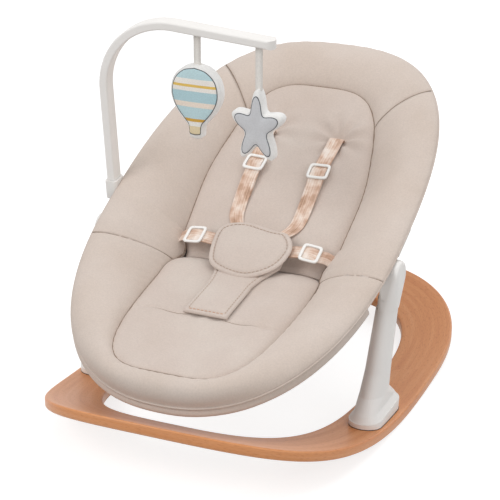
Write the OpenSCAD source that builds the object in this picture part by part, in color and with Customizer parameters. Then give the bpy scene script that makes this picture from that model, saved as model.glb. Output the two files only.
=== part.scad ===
// Baby bouncer seat: padded reclining seat on two legs, standing on a bentwood rocker ring.
// Millimetres, +Z up, foot end towards -Y. The origin is on the floor under the middle of the ring.

/* [Rocker ring] */
// Length of the ring from foot end to head end
base_l = 640; // [560:5:760]
// Width of the ring
base_w = 434; // [430:2:500]
// Thickness of the bent plywood
ply_t = 13; // [12:1:18]
// Width of the ring's sides
side_strip_w = 63; // [60:1:70]
// Width of the ring at the foot end
foot_strip_w = 60; // [50:1:80]
// Width of the ring at the head end
head_strip_w = 82; // [60:1:100]
// Radius of the rocking curve towards the foot end
rocker_foot_r = 720; // [650:5:900]
// Radius of the rocking curve towards the head end
rocker_head_r = 1250; // [900:10:1400]
// How far the lowest point of the curve lies towards the head
rocker_y = -4; // [-20:1:30]
// Thickness of the rubber grip strips in the underside
grip_t = 2.5; // [2:0.5:4]

/* [Legs and hinge] */
// Height of the recline hinge above the floor
pivot_z = 200; // [192:1:225]
// How far the hinge lies towards the foot end
pivot_y = -38; // [-50:1:-20]
// Distance between the inner faces of the two hubs
hub_gap = 374; // [370:1:380]
// Width of one hub along the hinge
hub_w = 21; // [20:1:24]
// Radius of the rounded top of a hub
hub_r = 19; // [17:0.5:21]
// Height where the hub sleeve meets the lower leg
sleeve_z = 160; // [140:1:165]
// Diameter of the hinge bolt
bolt_d = 10; // [8:0.5:12]
// Radial clearance of the seat arm on its bolt
bolt_fit = 0.05; // [0.02:0.01:0.1]
// Length of a leg's foot along the ring
foot_l = 104; // [90:1:120]
// Width of a leg's foot
foot_w = 42; // [36:1:46]

/* [Seat] */
// Angle of the seat's rim above the horizontal
tilt = 24; // [20:1:26]
// Width across the padded rim
rim_w = 400; // [380:1:410]
// Length of the rim from the hinge towards the head
rim_head = 383; // [350:1:400]
// Length of the rim from the hinge towards the foot end
rim_foot = 276; // [250:1:284]
// Diameter of the seat frame tube
tube_d = 16; // [14:0.5:18]
// Wall of the seat frame tube
tube_wall = 1.5; // [1:0.1:2.5]
// Thickness of the seat and back pads
pad_t = 14; // [10:1:16]
// Depth of the crease between seat and back below the rim
crease_depth = 52; // [40:1:60]
// How far the rim drops at the foot end, below the plane of the rest
foot_drop = 2; // [0:1:10]
// How far the padded rim stands above a straight line from seam to edge
rim_puff = 16; // [8:1:22]
// How far the padding at the foot end bulges past its edge seam
foot_bulge = 12; // [0:1:18]

/* [Harness] */
// Width of the webbing
web_w = 20; // [18:0.5:25]
// Thickness of the webbing
web_t = 1.6; // [1.2:0.1:2]
// Distance from the middle to a shoulder slot
shoulder_x = 49; // [40:1:60]
// Distance of the shoulder slots from the hinge, along the back
shoulder_s = 214; // [180:1:230]
// Travel of the buckle button
button_travel = 3; // [2:0.5:4]

/* [Toy bar] */
// Thickness of the bar, seen from the front
bar_t = 11.5; // [10:0.5:13]
// Depth of the bar, from front to back
bar_d = 20; // [17:0.5:22]
// Height of the straight upright above its socket
bar_upright = 129; // [100:1:160]
// Radius of the bend
bar_bend = 97; // [70:1:120]
// Length of the arm after the bend
bar_arm = 135; // [120:1:150]
// Depth of the plug in its socket
plug_depth = 22; // [16:1:24]
// Diameter of the pins that the toys hang on
toy_pin_d = 3; // [2.5:0.1:4]

/* [Hidden] */

$fn = 64;
gap = 0.3;
seam_gap = 0.6;
white = "#e4e1dc";
beige = "#d0c0b4";
beech = "#c8936b";
webbing = "#e6cdbb";
rubber = "#6b6661";
steel = "#b9bbbd";

// Rocker curve: two cylinders lying along X that meet at the lowest line, on the floor.
ring_steps = 120;
rocker_facets = 600;
grip_proud = 0.6;
outer_wide_y = 90;
inner_wide_y = 62;
function superellipse(a, b_plus, b_minus, n_plus, n_minus, y0, steps) =
    [for (i = [0 : steps - 1])
        let (t = 360 * i / steps, b = sin(t) < 0 ? b_minus : b_plus, n = sin(t) < 0 ? n_minus : n_plus)
        [a * sign(cos(t)) * pow(abs(cos(t)), 2 / n), y0 + b * sign(sin(t)) * pow(abs(sin(t)), 2 / n)]];
function rocker_r(end) = end < 0 ? rocker_foot_r : rocker_head_r;
// Height of a surface that lies a given lift above the rocking curve
function curve_z(y, lift) = let (r = rocker_r(y - rocker_y)) r - sqrt(pow(r - lift, 2) - pow(y - rocker_y, 2));
ring_top_lift = grip_proud + ply_t;

// Legs: each foot stands near the middle of the ring's side, and the leg leans to the hinge
foot_c = [base_w / 2 - side_strip_w / 2 + 1.5, -67];
pivot_x = hub_gap / 2 + hub_w / 2;
leg_half = [13, 19];
leg_top = [foot_c.x + (pivot_x - foot_c.x) * 0.55, foot_c.y + (pivot_y - foot_c.y) * 0.71];
gasket_t = 1;
screw_d = 5;
screw_head_d = 10;
screw_ys = [foot_c.y - 30, foot_c.y + 30];
screw_len = 26;

// Hinge stack, from the hub inwards
washer_t = 1.4;
washer_d = 30;
arm_out = hub_gap / 2 - washer_t - 2 * gap;
arm_w = 21.5;
arm_in = arm_out - arm_w;
bolt_head_d = 20;
bolt_head_t = 3;
bolt_in_hub = 15;

// Seat frame of reference: X across, Y up the slope of the rim, Z square to the rim.
pivot_drop = 24;
rim_c = 34;
rim_front = rim_foot + rim_c;
rim_back = rim_head - rim_c;
tube_x = (arm_out + arm_in) / 2;
tube_h = -16;
tube_r = tube_d / 2;
arm_top = -3.6;
arm_front = 52;
arm_back = 84;
socket_len = 30;
cheek_w = 9;
cheek_s = [32, 80];
crease_s = 4;
front_rise = 0.296;
back_rise = 0.172;
function seam_h(s) = -crease_depth + (s < crease_s ? (crease_s - s) * front_rise : (s - crease_s) * back_rise);
rim_flat_s = -26;
function rim_h(s) = s < rim_flat_s ? -foot_drop * pow((rim_flat_s - s) / (rim_foot + rim_flat_s), 2) : 0;
function to_world(p) = [p.x,
    pivot_y + p.y * cos(tilt) - (p.z + pivot_drop) * sin(tilt),
    pivot_z + p.y * sin(tilt) + (p.z + pivot_drop) * cos(tilt)];

// Seat outlines, as the distance from [0, rim_c] in the direction a
seam_w = 107;
seam_back = 263;
seam_front = 282;
function reach(a, w, b, n) = pow(pow(abs(cos(a)) / w, n) + pow(abs(sin(a)) / b, n), -1 / n);
function rim_reach(a) = sin(a) < 0 ? reach(a, rim_w / 2, rim_front, 2.3) : reach(a, rim_w / 2, rim_back, 2.7);
function seam_reach(a) = sin(a) < 0 ? reach(a, seam_w - 3, seam_front, 4) : reach(a, seam_w, seam_back, 3.5);
function ray(a, r) = [r * cos(a), rim_c + r * sin(a)];

// Front tube: straight, gentle bend, tight bend, straight bar
bend_1 = 180;
bend_1_turn = 20;
bend_2 = 150;
bend_1_c = [tube_x - bend_1, -arm_front - 4];
bend_2_c = bend_1_c + (bend_1 - bend_2) * [cos(bend_1_turn), -sin(bend_1_turn)];
// Rear tube: straight, corner bend, wide head bend
corner_r = 160;
corner_turn = 50;
head_r = corner_r + (tube_x - corner_r) / cos(corner_turn);
head_apex = rim_head - 33;
corner_s = head_apex + (head_r - corner_r) * sin(corner_turn) - head_r;
head_c = head_apex - head_r;

// Toy bar
bar_lean = 18;
bar_x = -rim_w / 2 - 7.5;
bar_s = 60;
bar_h = 6;
bend_sweep = 94;
pocket_w = 10;
pocket_d = 12;
ribbon_w = 9.4;
ribbon_t = 1.6;
pin_fit = 0.06;
balloon_along = 30;
star_along = 113;
arm_start = [bar_x + bar_bend - bar_bend * cos(bend_sweep), bar_upright + bar_bend * sin(bend_sweep)];
function on_arm(d) = [arm_start.x + d * cos(bend_sweep - 90), 0, arm_start.y - d * sin(bend_sweep - 90)];
function bar_to_seat(p) = [p.x, bar_s + p.y * cos(bar_lean) + p.z * sin(bar_lean),
    bar_h - p.y * sin(bar_lean) + p.z * cos(bar_lean)];
function pin_world(d) = to_world(bar_to_seat(on_arm(d)));

// Buckle
buckle = [44, 38, 12];
buckle_pos = [0, 19, -38];
button_d = 16;
buckle_floor = 3;
// How deep the button sits in the buckle, with room left to press it
button_seat = button_travel + 1;

module seat_space() {
    translate([0, pivot_y, pivot_z]) rotate([tilt, 0, 0]) translate([0, 0, pivot_drop]) children();
}

module both_sides() {
    children();
    mirror([1, 0, 0]) children();
}

module along_x(x0, x1, r) {
    translate([x0, 0, 0]) rotate([0, 90, 0]) cylinder(r = r, h = x1 - x0);
}

module rounded_plate(w, d, r) {
    square([w - 2 * r, d], center = true);
    square([w, d - 2 * r], center = true);
    for (x = [-1, 1], y = [-1, 1]) translate([x * (w / 2 - r), y * (d / 2 - r)]) circle(r);
}

// ---- Rocker ring ----
module rocker_drum(end, half_length, lift) {
    translate([0, rocker_y, rocker_r(end)])
        along_x(-half_length, half_length, rocker_r(end) - lift, $fn = rocker_facets);
}

// The part of the children that lies between two lifts above the rocking curve
module bent_shell(low, high) {
    for (end = [-1, 1]) intersection() {
        difference() {
            rocker_drum(end, base_w, low);
            rocker_drum(end, base_w + 1, high);
        }
        translate([-base_w, end < 0 ? rocker_y - base_l : rocker_y, -100]) cube([2 * base_w, base_l, 300]);
        children();
    }
}

module ring_plan() {
    difference() {
        polygon(superellipse(base_w / 2, base_l / 2 - outer_wide_y, base_l / 2 + outer_wide_y, 2.6, 3.6,
            outer_wide_y, ring_steps));
        polygon(superellipse(base_w / 2 - side_strip_w, base_l / 2 - head_strip_w - inner_wide_y,
            base_l / 2 - foot_strip_w + inner_wide_y, 3, 3.3, inner_wide_y, ring_steps));
    }
}

module grip_plan(grow) {
    both_sides() translate([base_w / 2 - side_strip_w / 2 - 11, rocker_y])
        square([10 + grow, 250 + grow], center = true);
}

module base_ring() {
    color(beech) difference() {
        bent_shell(grip_proud, ring_top_lift) linear_extrude(140) ring_plan();
        bent_shell(grip_proud - 1, grip_t) linear_extrude(140) grip_plan(2 * gap);
        both_sides() for (y = screw_ys) translate([foot_c.x, y, 0]) {
            cylinder(d = screw_d + 0.4, h = 60);
            cylinder(d = screw_head_d + 0.6, h = curve_z(y, grip_proud) + 5);
        }
    }
}

module grip_strips() {
    color(rubber) bent_shell(0, grip_t) linear_extrude(140) grip_plan(0);
}

// ---- Legs ----
module oval(c, half, z, t = 0.5) {
    translate([c.x, c.y, z]) linear_extrude(t) scale([half.x, half.y]) circle(1, $fn = 36);
}

module foot_plan(grow) {
    square([foot_w + 2 * grow, foot_l - foot_w], center = true);
    for (e = [-1, 1]) translate([0, e * (foot_l - foot_w) / 2]) circle(foot_w / 2 + grow, $fn = 36);
}

module foot_slab(grow, z, t) {
    translate([foot_c.x, foot_c.y, z]) linear_extrude(t) foot_plan(grow);
}

module leg() {
    color(white) difference() {
        union() {
            hull() {
                foot_slab(-1, 8, 1);
                foot_slab(0, 26, 4);
            }
            hull() {
                foot_slab(-1, 29, 1);
                foot_slab(-6, 37, 0.5);
            }
            hull() {
                foot_slab(-6, 37, 0.5);
                oval(foot_c + [0, -2], [16.5, 29], 54);
            }
            hull() {
                oval(foot_c + [0, -2], [16.5, 29], 54);
                oval(foot_c + [2, 4], [15, 23], 82);
            }
            hull() {
                oval(foot_c + [2, 4], [15, 23], 82);
                oval(leg_top, leg_half, sleeve_z - 0.5);
            }
            oval(leg_top, leg_half - [2, 2], sleeve_z - 1, 15);
        }
        bent_shell(-50, ring_top_lift + gasket_t)
            translate([foot_c.x - 50, foot_c.y - 80, -50]) cube([100, 160, 120]);
        for (y = screw_ys) translate([foot_c.x, y, 0])
            cylinder(d = screw_d + 0.2, h = curve_z(y, grip_proud) + screw_len + 5);
    }
}

module leg_right() leg();
module leg_left() mirror([1, 0, 0]) leg();

module foot_gaskets() {
    color(rubber) both_sides() difference() {
        bent_shell(ring_top_lift, ring_top_lift + gasket_t) linear_extrude(140)
            translate([foot_c.x, foot_c.y]) foot_plan(0);
        for (y = screw_ys) translate([foot_c.x, y, 0]) cylinder(d = screw_d + 0.4, h = 80);
    }
}

module leg_screws() {
    color(steel) both_sides() for (y = screw_ys) translate([foot_c.x, y, curve_z(y, grip_proud) + 0.6]) {
        cylinder(d = screw_head_d, h = 3.8);
        cylinder(d = screw_d, h = screw_len);
    }
}

// The sleeve that covers the top of a leg and carries the hinge bolt
module hub() {
    color(white) difference() {
        hull() {
            oval(leg_top, leg_half + [1, 1.2], sleeve_z);
            oval([pivot_x - 1, pivot_y - 3], [hub_w / 2 + 0.5, hub_r + 0.6], pivot_z - 14);
            for (i = [0 : 3]) translate([0, pivot_y, pivot_z])
                along_x(pivot_x - hub_w / 2, pivot_x + hub_w / 2 - [0, 1.2, 3, 5.5][i],
                    hub_r - [5, 2, 0.7, 0][i], $fn = 36);
        }
        translate([hub_gap / 2 - 40, -200, 100]) cube([40, 400, 200]);
        oval(leg_top, leg_half - [2 - gap, 2 - gap], sleeve_z - 2, 16.5);
        translate([0, pivot_y, pivot_z])
            along_x(hub_gap / 2 - 1, hub_gap / 2 + bolt_in_hub + 0.5, bolt_d / 2 + bolt_fit);
    }
}

module hub_right() hub();
module hub_left() mirror([1, 0, 0]) hub();

module hinge_bolts() {
    color(steel) both_sides() translate([0, pivot_y, pivot_z]) {
        along_x(arm_in - 1, hub_gap / 2 + bolt_in_hub, bolt_d / 2);
        difference() {
            along_x(arm_in - gap - bolt_head_t, arm_in - gap, bolt_head_d / 2);
            along_x(arm_in - gap - bolt_head_t - 1, arm_in - gap - bolt_head_t + 2, 3, $fn = 6);
        }
    }
}

module friction_washers() {
    color("#8d8a86") both_sides() translate([0, pivot_y, pivot_z]) difference() {
        along_x(arm_out + gap, arm_out + gap + washer_t, washer_d / 2);
        along_x(arm_out, arm_out + washer_t + 1, bolt_d / 2 + bolt_fit);
    }
}

// ---- Seat frame ----
arm_low = tube_h - tube_r - 2.6;
module arm_side() {
    // Bar along the rim with a hinge lug below it, faired into the bar on both sides
    fair_s = arm_front - 6;
    translate([-arm_front, arm_low]) square([arm_front + arm_back, arm_top - arm_low]);
    translate([0, -pivot_drop]) circle(hub_r);
    polygon([[-fair_s, arm_low + 1], [-hub_r * 0.77, -pivot_drop - hub_r * 0.64],
        [hub_r * 0.77, -pivot_drop - hub_r * 0.64], [fair_s, arm_low + 1]]);
}

// The two ends of an arm, as [direction, how far it lies from the hinge]
arm_ends = [[-1, arm_front], [1, arm_back]];

module seat_arm() {
    color(white) difference() {
        union() {
            translate([arm_in, 0, 0]) rotate([90, 0, 90]) linear_extrude(arm_w) arm_side();
            // Cheek that widens the arm behind the hub, as far as the edge of the padding
            translate([arm_out - 1, cheek_s[0], arm_low])
                cube([cheek_w, cheek_s[1] - cheek_s[0], arm_top - arm_low]);
        }
        for (e = arm_ends) translate([tube_x, e[0] * (e[1] - socket_len), tube_h]) rotate([-90 * e[0], 0, 0])
            cylinder(r = tube_r + bolt_fit, h = socket_len + 1);
        translate([0, 0, -pivot_drop]) along_x(arm_in - 1, arm_out + 1, bolt_d / 2 + bolt_fit);
        for (e = arm_ends) translate([arm_in - 1, e[0] * (e[1] - socket_len / 2), tube_h]) along_x(0, 9, 2.1);
    }
}

// Socket of the toy bar, screwed to the outside of the left arm
module bar_clip() {
    color(white) seat_space() difference() {
        union() {
            translate([bar_x, bar_s, bar_h]) rotate([-bar_lean, 0, 0]) translate([0, 0, -plug_depth - 3])
                linear_extrude(plug_depth + 3) rounded_plate(bar_t + 5, bar_d + 5, 4);
            translate([-arm_out - cheek_w + 1 - 6.3, bar_s - 16, arm_low + 2]) cube([6, 26, 16]);
        }
        translate([bar_x, bar_s, bar_h]) rotate([-bar_lean, 0, 0]) translate([0, 0, -plug_depth])
            linear_extrude(plug_depth + 1) rounded_plate(bar_t - 1 + 2 * gap, bar_d - 1 + 2 * gap, 2);
    }
}

module seat_arm_right() seat_space() seat_arm();
module seat_arm_left() seat_space() mirror([1, 0, 0]) seat_arm();

// The straights and bends of a tube meet with a step too small to see, so that they fuse cleanly
join_step = 0.06;
join_len = 1;
join_turn = 0.4;

module rod(r, l) {
    translate([0, -join_len, 0]) rotate([-90, 0, 0]) cylinder(r = r, h = l + 2 * join_len, $fn = 36);
}

module bend(r, bend_r, turn) {
    rotate_extrude(angle = turn, $fn = 96) translate([bend_r, 0]) circle(r, $fn = 36);
}

module rear_line(r) {
    both_sides() {
        translate([tube_x, arm_back - socket_len + join_len, 0])
            rod(r, corner_s - arm_back + socket_len - join_len);
        translate([tube_x - corner_r, corner_s, 0]) bend(r + join_step, corner_r, corner_turn);
    }
    translate([0, head_c, 0]) rotate([0, 0, corner_turn - join_turn])
        bend(r, head_r, 180 - 2 * (corner_turn - join_turn));
}

module front_line(r) {
    both_sides() {
        translate([tube_x, bend_1_c.y, 0]) rod(r, socket_len + 3);
        translate([bend_1_c.x, bend_1_c.y, 0]) rotate([0, 0, -bend_1_turn])
            bend(r + join_step, bend_1, bend_1_turn);
        translate([bend_2_c.x, bend_2_c.y, 0]) rotate([0, 0, -90])
            bend(r, bend_2, 90 - bend_1_turn + join_turn);
    }
    translate([bend_2_c.x, bend_2_c.y - bend_2, 0]) rotate([0, 0, 90]) rod(r - join_step, 2 * bend_2_c.x);
}

module rear_tube() {
    color(steel) seat_space() translate([0, 0, tube_h]) difference() {
        rear_line(tube_r);
        rear_line(tube_r - tube_wall);
        // Both ends are open
        both_sides() translate([tube_x, arm_back - socket_len, 0]) rod(tube_r - tube_wall, 1);
    }
}

module front_tube() {
    color(steel) seat_space() translate([0, 0, tube_h]) difference() {
        front_line(tube_r);
        front_line(tube_r - tube_wall);
        both_sides() translate([tube_x, socket_len - arm_front, 0]) rod(tube_r - tube_wall, 1);
    }
}

module tube_screws() {
    color(steel) seat_space() both_sides() for (e = arm_ends)
        translate([arm_in, e[0] * (e[1] - socket_len / 2), tube_h]) {
            along_x(-1.8, -0.3, 4);
            along_x(-1, arm_w / 2 - tube_r - gap, 2);
        }
}

// ---- Soft parts, as plain closed solids ----
// Closed solid through a row of sections that all have the same number of points
module loft(sections) {
    n = len(sections[0]);
    m = len(sections);
    points = [for (s = sections) each s];
    faces = concat(
        [[for (j = [0 : n - 1]) j]],
        [for (i = [0 : m - 2], j = [0 : n - 1]) let (k = (j + 1) % n)
            each [[i * n + j, (i + 1) * n + j, (i + 1) * n + k], [i * n + j, (i + 1) * n + k, i * n + k]]],
        [[for (j = [n - 1 : -1 : 0]) (m - 1) * n + j]]);
    polyhedron(points, faces, convexity = 8);
}

// How steeply the padding rises from the pad seam
rim_fullness = 1.35;
// From the edge of the rim in to the middle of the frame tube
rim_to_tube = rim_w / 2 - tube_x;

// Cross-section of the padded rim in the direction a, from the pad seam out to the edge and back
function rim_section(a) =
    let (rs = seam_reach(a), rr = rim_reach(a), hs = seam_h(ray(a, rs).y), he = rim_h(ray(a, rr).y),
        under = max(rr - rim_to_tube - tube_r - 6, rs + 8))
    concat(
        [for (u = [0 : 0.2 : 1]) let (rise = 1 - pow(1 - u, rim_fullness))
            rim_point(a, rs + (rr - rs) * u + foot_bulge * max(0, -sin(a)) * u * sin(180 * u),
                hs * (1 - rise) + he * rise + rim_puff * pow(sin(180 * u), 0.8))],
        [rim_point(a, rr - 1, he - 3), rim_point(a, under, rim_h(ray(a, under).y) - 3),
            rim_point(a, rs, min(hs - pad_t, -3))]);
function rim_point(a, r, h) = [ray(a, r).x, ray(a, r).y, h];

module rim_part(a0, a1, steps) {
    color(beige) seat_space() difference() {
        loft([for (i = [0 : steps]) rim_section(a0 + (a1 - a0) * i / steps)]);
        // Room for the toy bar's clip at the edge of the left wing
        translate([bar_x - 22, bar_s - 22, -12]) cube([22 + bar_t / 2 + 3, 38, 40]);
        translate([0, 0, -pivot_drop]) both_sides() along_x(hub_gap / 2 - 3, 260, hub_r + 2);
    }
}

wing_foot_a = 23;
wing_head_a = 63;
foot_steps = 45;
wing_steps = 29;
head_steps = 18;
// A seam gap as an angle at a typical distance from the middle
gap_a = 0.12;

module foot_bolster() rim_part(-180 + wing_foot_a + gap_a, -wing_foot_a - gap_a, foot_steps);
module wing_right() rim_part(-wing_foot_a + gap_a, wing_head_a - gap_a, wing_steps);
module wing_left() rim_part(180 - wing_head_a + gap_a, 180 + wing_foot_a - gap_a, wing_steps);
module head_bolster() rim_part(wing_head_a + gap_a, 180 - wing_head_a - gap_a, head_steps);

// The pads' corners lie on the same rays as those of the rim, so that the seam is as wide everywhere
rim_parts = [[-180 + wing_foot_a, -wing_foot_a, foot_steps], [-wing_foot_a, wing_head_a, wing_steps],
    [wing_head_a, 180 - wing_head_a, head_steps], [180 - wing_head_a, 180 + wing_foot_a, wing_steps]];
module pad_outline() {
    polygon([for (p = rim_parts, i = [0 : p[2] - 1])
        let (a = p[0] + (p[1] - p[0]) * i / p[2]) ray(a, seam_reach(a) - seam_gap)]);
}

module pad(turn, length) {
    color(beige) seat_space() difference() {
        intersection() {
            translate([0, 0, -120]) linear_extrude(200) pad_outline();
            translate([-150, crease_s, -crease_depth]) rotate([turn, 0, 0])
                translate([0, length < 0 ? length : 0, -pad_t]) cube([300, abs(length), pad_t]);
        }
        children();
    }
}

module seat_pad() pad(-atan(front_rise), -290)
    translate([-200, crease_s - seam_gap, -100]) cube([400, 50, 120]);
module back_pad() pad(atan(back_rise), 320) {
    translate([-200, crease_s - 50, -100]) cube([400, 50, 120]);
    both_sides() translate([shoulder_x - web_w / 2 - 1.5, shoulder_s - 2.5, -60]) cube([web_w + 3, 5, 60]);
}

// The fabric belly under the pads, wrapped round the frame tube
function sling_h(s) = -crease_depth - pad_t - 10
    + max(0, (crease_s - s) * front_rise - 1, (s - crease_s) * back_rise - 1);
tube_low = tube_h - tube_r - 2;
// How far in from the rim the belly's outer rows lie: inside the tube, outside it, and up to the edge
sling_in = [rim_to_tube + tube_r + 7, rim_to_tube - tube_r - 1.4, 3, 2.6];
function sling_row(a, k, t) =
    let (rs = seam_reach(a), rr = rim_reach(a), he = rim_h(ray(a, rr).y),
        hs = min(sling_h(ray(a, rs).y), tube_low + 0.5))
    k < 3 ? rim_point(a, rs * [0.02, 0.5, 1][k], (k < 2 ? sling_h(ray(a, rs * [0.02, 0.5][k]).y) : hs) - t)
    : rim_point(a, max(rr - sling_in[k - 3], rs + [3, 6, 9, 10][k - 3]) + t * [0, 0.3, 0.9, 1][k - 3],
        [min(hs, tube_low), tube_low + he * 0.6, he - 15, he - 3.4][k - 3] - t * [1, 1, 0.5, 0][k - 3]);
sling_steps = 48;

module under_sling() {
    rows = 7;
    t = 1.4;
    points = concat(
        [for (i = [0 : sling_steps - 1], k = [0 : rows - 1]) sling_row(360 * i / sling_steps, k, 0)],
        [for (i = [0 : sling_steps - 1], k = [0 : rows - 1]) sling_row(360 * i / sling_steps, k, t)]);
    shell = sling_steps * rows;
    function id(i, k, side) = side * shell + (i % sling_steps) * rows + k;
    quads = [for (i = [0 : sling_steps - 1], k = [0 : rows - 2])
        each [[id(i, k, 0), id(i, k + 1, 0), id(i + 1, k + 1, 0)],
            [id(i, k, 0), id(i + 1, k + 1, 0), id(i + 1, k, 0)],
            [id(i, k, 1), id(i + 1, k + 1, 1), id(i, k + 1, 1)],
            [id(i, k, 1), id(i + 1, k, 1), id(i + 1, k + 1, 1)]]];
    edge = [for (i = [0 : sling_steps - 1])
        each [[id(i, rows - 1, 0), id(i, rows - 1, 1), id(i + 1, rows - 1, 1)],
            [id(i, rows - 1, 0), id(i + 1, rows - 1, 1), id(i + 1, rows - 1, 0)]]];
    middle = [[for (i = [0 : sling_steps - 1]) id(i, 0, 0)],
        [for (i = [sling_steps - 1 : -1 : 0]) id(i, 0, 1)]];
    color(beige) seat_space() difference() {
        polyhedron(points, [for (f = concat(quads, edge, middle)) [f[0], for (j = [len(f) - 1 : -1 : 1]) f[j]]],
            convexity = 8);
        both_sides() translate([arm_in - 3, -arm_front - 6, -90]) cube([60, arm_front + arm_back + 12, 100]);
    }
}

// ---- Harness ----
// Flat webbing through a row of points; side gives the direction of its width at each point
module ribbon(points, side, w, t) {
    last = len(points) - 1;
    loft([for (i = [0 : last])
        let (along = points[min(i + 1, last)] - points[max(i - 1, 0)],
            across = cross(along, side), n = across / norm(across), v = side / norm(side))
        [points[i] + v * w / 2 + n * t / 2, points[i] - v * w / 2 + n * t / 2,
            points[i] - v * w / 2 - n * t / 2, points[i] + v * w / 2 - n * t / 2]]);
}

adjuster_s = 149;
shoulder_path = [[shoulder_x, shoulder_s, seam_h(shoulder_s) - 12],
    [shoulder_x, shoulder_s, seam_h(shoulder_s) - 2], [shoulder_x, shoulder_s - 4, seam_h(shoulder_s) + 3.5],
    [shoulder_x - 1, shoulder_s - 22, -15.5], [46, adjuster_s + 20, -18.4],
    [45.5, adjuster_s + 11, -19], [45, adjuster_s + 5, -17.8], [45, adjuster_s, -16.9],
    [45, adjuster_s - 5, -18.2], [44.5, adjuster_s - 11, -19.9], [45, 118, -25],
    [44.5, 88, -32.5], [43, 66, -37], [33, 48, -38], [22, 40, -38]];
waist_s = 18;
waist_path = [[seam_w - 2, waist_s + 4, -46], [101, waist_s + 4, -41.5], [96.5, waist_s + 2, -37.5],
    [91, waist_s, -35], [85, waist_s, -32.5], [80, waist_s, -30.9], [75, waist_s, -31], [69, waist_s, -31.9],
    [56, waist_s, -33.5], [42, waist_s, -37], [28 + gap, waist_s, -38]];
adjuster_hole = [web_w + 1.4, 6.5];

module shoulder_strap() color(webbing) ribbon(shoulder_path, [1, 0, 0], web_w, web_t);
module waist_strap() color(webbing) ribbon(waist_path, [0, 1, 0], web_w, web_t);
module shoulder_strap_right() seat_space() shoulder_strap();
module shoulder_strap_left() seat_space() mirror([1, 0, 0]) shoulder_strap();
module waist_strap_right() seat_space() waist_strap();
module waist_strap_left() seat_space() mirror([1, 0, 0]) waist_strap();

// Ladder-lock adjuster: a rounded frame with a middle bar under the webbing
module adjuster() {
    frame_t = 2.6;
    difference() {
        translate([0, 0, -frame_t / 2]) linear_extrude(frame_t) rounded_plate(web_w + 9, 26, 4);
        translate([0, 0, -frame_t]) linear_extrude(2 * frame_t) square([adjuster_hole.x, 18], center = true);
    }
    translate([0, 0, -web_t / 2 - gap - 0.9]) cube([adjuster_hole.x + 2, 5, 1.8], center = true);
}

module shoulder_adjusters() {
    color(white) seat_space() both_sides() translate([45, adjuster_s, -17]) rotate([2.3, 0, 3]) adjuster();
}

module waist_adjusters() {
    color(white) seat_space() both_sides() translate([80, waist_s, -31]) rotate([0, 8, 0]) rotate([0, 0, 90])
        adjuster();
}

crotch_s = -129;
crotch_path = [[0, crotch_s, -8.4], [0, crotch_s + 12, -10], [0, -96, -17.5], [0, -66, -26.5], [0, -36, -34],
    [0, -14, -37], [0, -0.5, -38]];
crotch_t = 5;
crotch_w = 58;
module crotch_strap() color(beige) seat_space() ribbon(crotch_path, [1, 0, 0], crotch_w, crotch_t);

module buckle_body() {
    color("#efece8") seat_space() translate(buckle_pos) difference() {
        translate([0, 0, -buckle.z / 2]) linear_extrude(buckle.z) rounded_plate(buckle.x, buckle.y, 6);
        translate([0, 0, -buckle.z / 2 + buckle_floor]) cylinder(d = button_d + 1, h = buckle.z);
        // Slots for the two tongues, open at the shoulder side and at the flanks
        both_sides() translate([10, -4.5, -1.6]) cube([20, 9, 3.2]);
    }
}

module buckle_button() {
    color("#cfcac4") seat_space() translate(buckle_pos) {
        translate([0, 0, buckle.z / 2 - button_seat]) cylinder(d = button_d, h = button_seat + 1);
    }
}

module buckle_spring() {
    spring_r = 4;
    spring_h = buckle.z - button_seat - buckle_floor - 2 * gap;
    color(steel) seat_space() translate(buckle_pos + [0, 0, -buckle.z / 2 + buckle_floor + gap]) difference() {
        cylinder(r = spring_r, h = spring_h);
        translate([0, 0, -1]) cylinder(r = spring_r - 0.8, h = spring_h + 2);
    }
}

tongue_end = 28;
module buckle_tongues() {
    color(white) seat_space() translate(buckle_pos) both_sides() {
        translate([12, -4, -1.2]) cube([tongue_end - 12, 8, 2.4]);
    }
}

shield_pos = [0, 7, -28.2];
module buckle_shield() {
    color(beige) seat_space() translate(shield_pos) translate([0, 0, -2.5]) linear_extrude(5)
        polygon([for (i = [0 : 35]) shield_point(i * 10)]);
}
function shield_point(a) = (1 + 0.1 * cos(2 * a) - 0.05 * sin(3 * a)) * [53 * cos(a), 52 * sin(a)];

// ---- Toy bar ----
module bar_space() {
    seat_space() translate([0, bar_s, bar_h]) rotate([-bar_lean, 0, 0]) children();
}

module bar_section(less = 0) {
    rounded_plate(bar_t - less, bar_d - less, 2.5);
}

// Straight arm with a round nose, as seen from above
module bar_straight() {
    intersection() {
        linear_extrude(bar_arm) bar_section();
        rotate([0, 90, 0]) translate([0, 0, -bar_t]) linear_extrude(2 * bar_t) {
            translate([-bar_arm + bar_d / 2, -bar_d]) square([bar_arm, 2 * bar_d]);
            translate([-bar_arm + bar_d / 2, 0]) circle(d = bar_d);
        }
    }
}

module toy_bar() {
    color(white) bar_space() difference() {
        union() {
            translate([bar_x, 0, 2 * gap]) linear_extrude(bar_upright - 2 * gap) bar_section();
            translate([bar_x, 0, gap - plug_depth])
                linear_extrude(plug_depth + 1) rounded_plate(bar_t - 1, bar_d - 1, 2);
            translate([bar_x + bar_bend, 0, bar_upright]) rotate([90, 0, 0])
                rotate([0, 0, 180 - bend_sweep - join_turn])
                    rotate_extrude(angle = bend_sweep + 2 * join_turn, $fn = 128)
                        translate([bar_bend, 0]) bar_section(join_step);
            translate([arm_start.x, 0, arm_start.y]) rotate([0, bend_sweep, 0]) bar_straight();
        }
        for (d = [balloon_along, star_along]) translate(on_arm(d)) {
            translate([-pocket_w / 2, -pocket_d / 2, -20]) cube([pocket_w, pocket_d, 22.5]);
            along_x(-pocket_w / 2 - 3, pocket_w / 2 + 3, toy_pin_d / 2);
        }
    }
}

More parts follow.
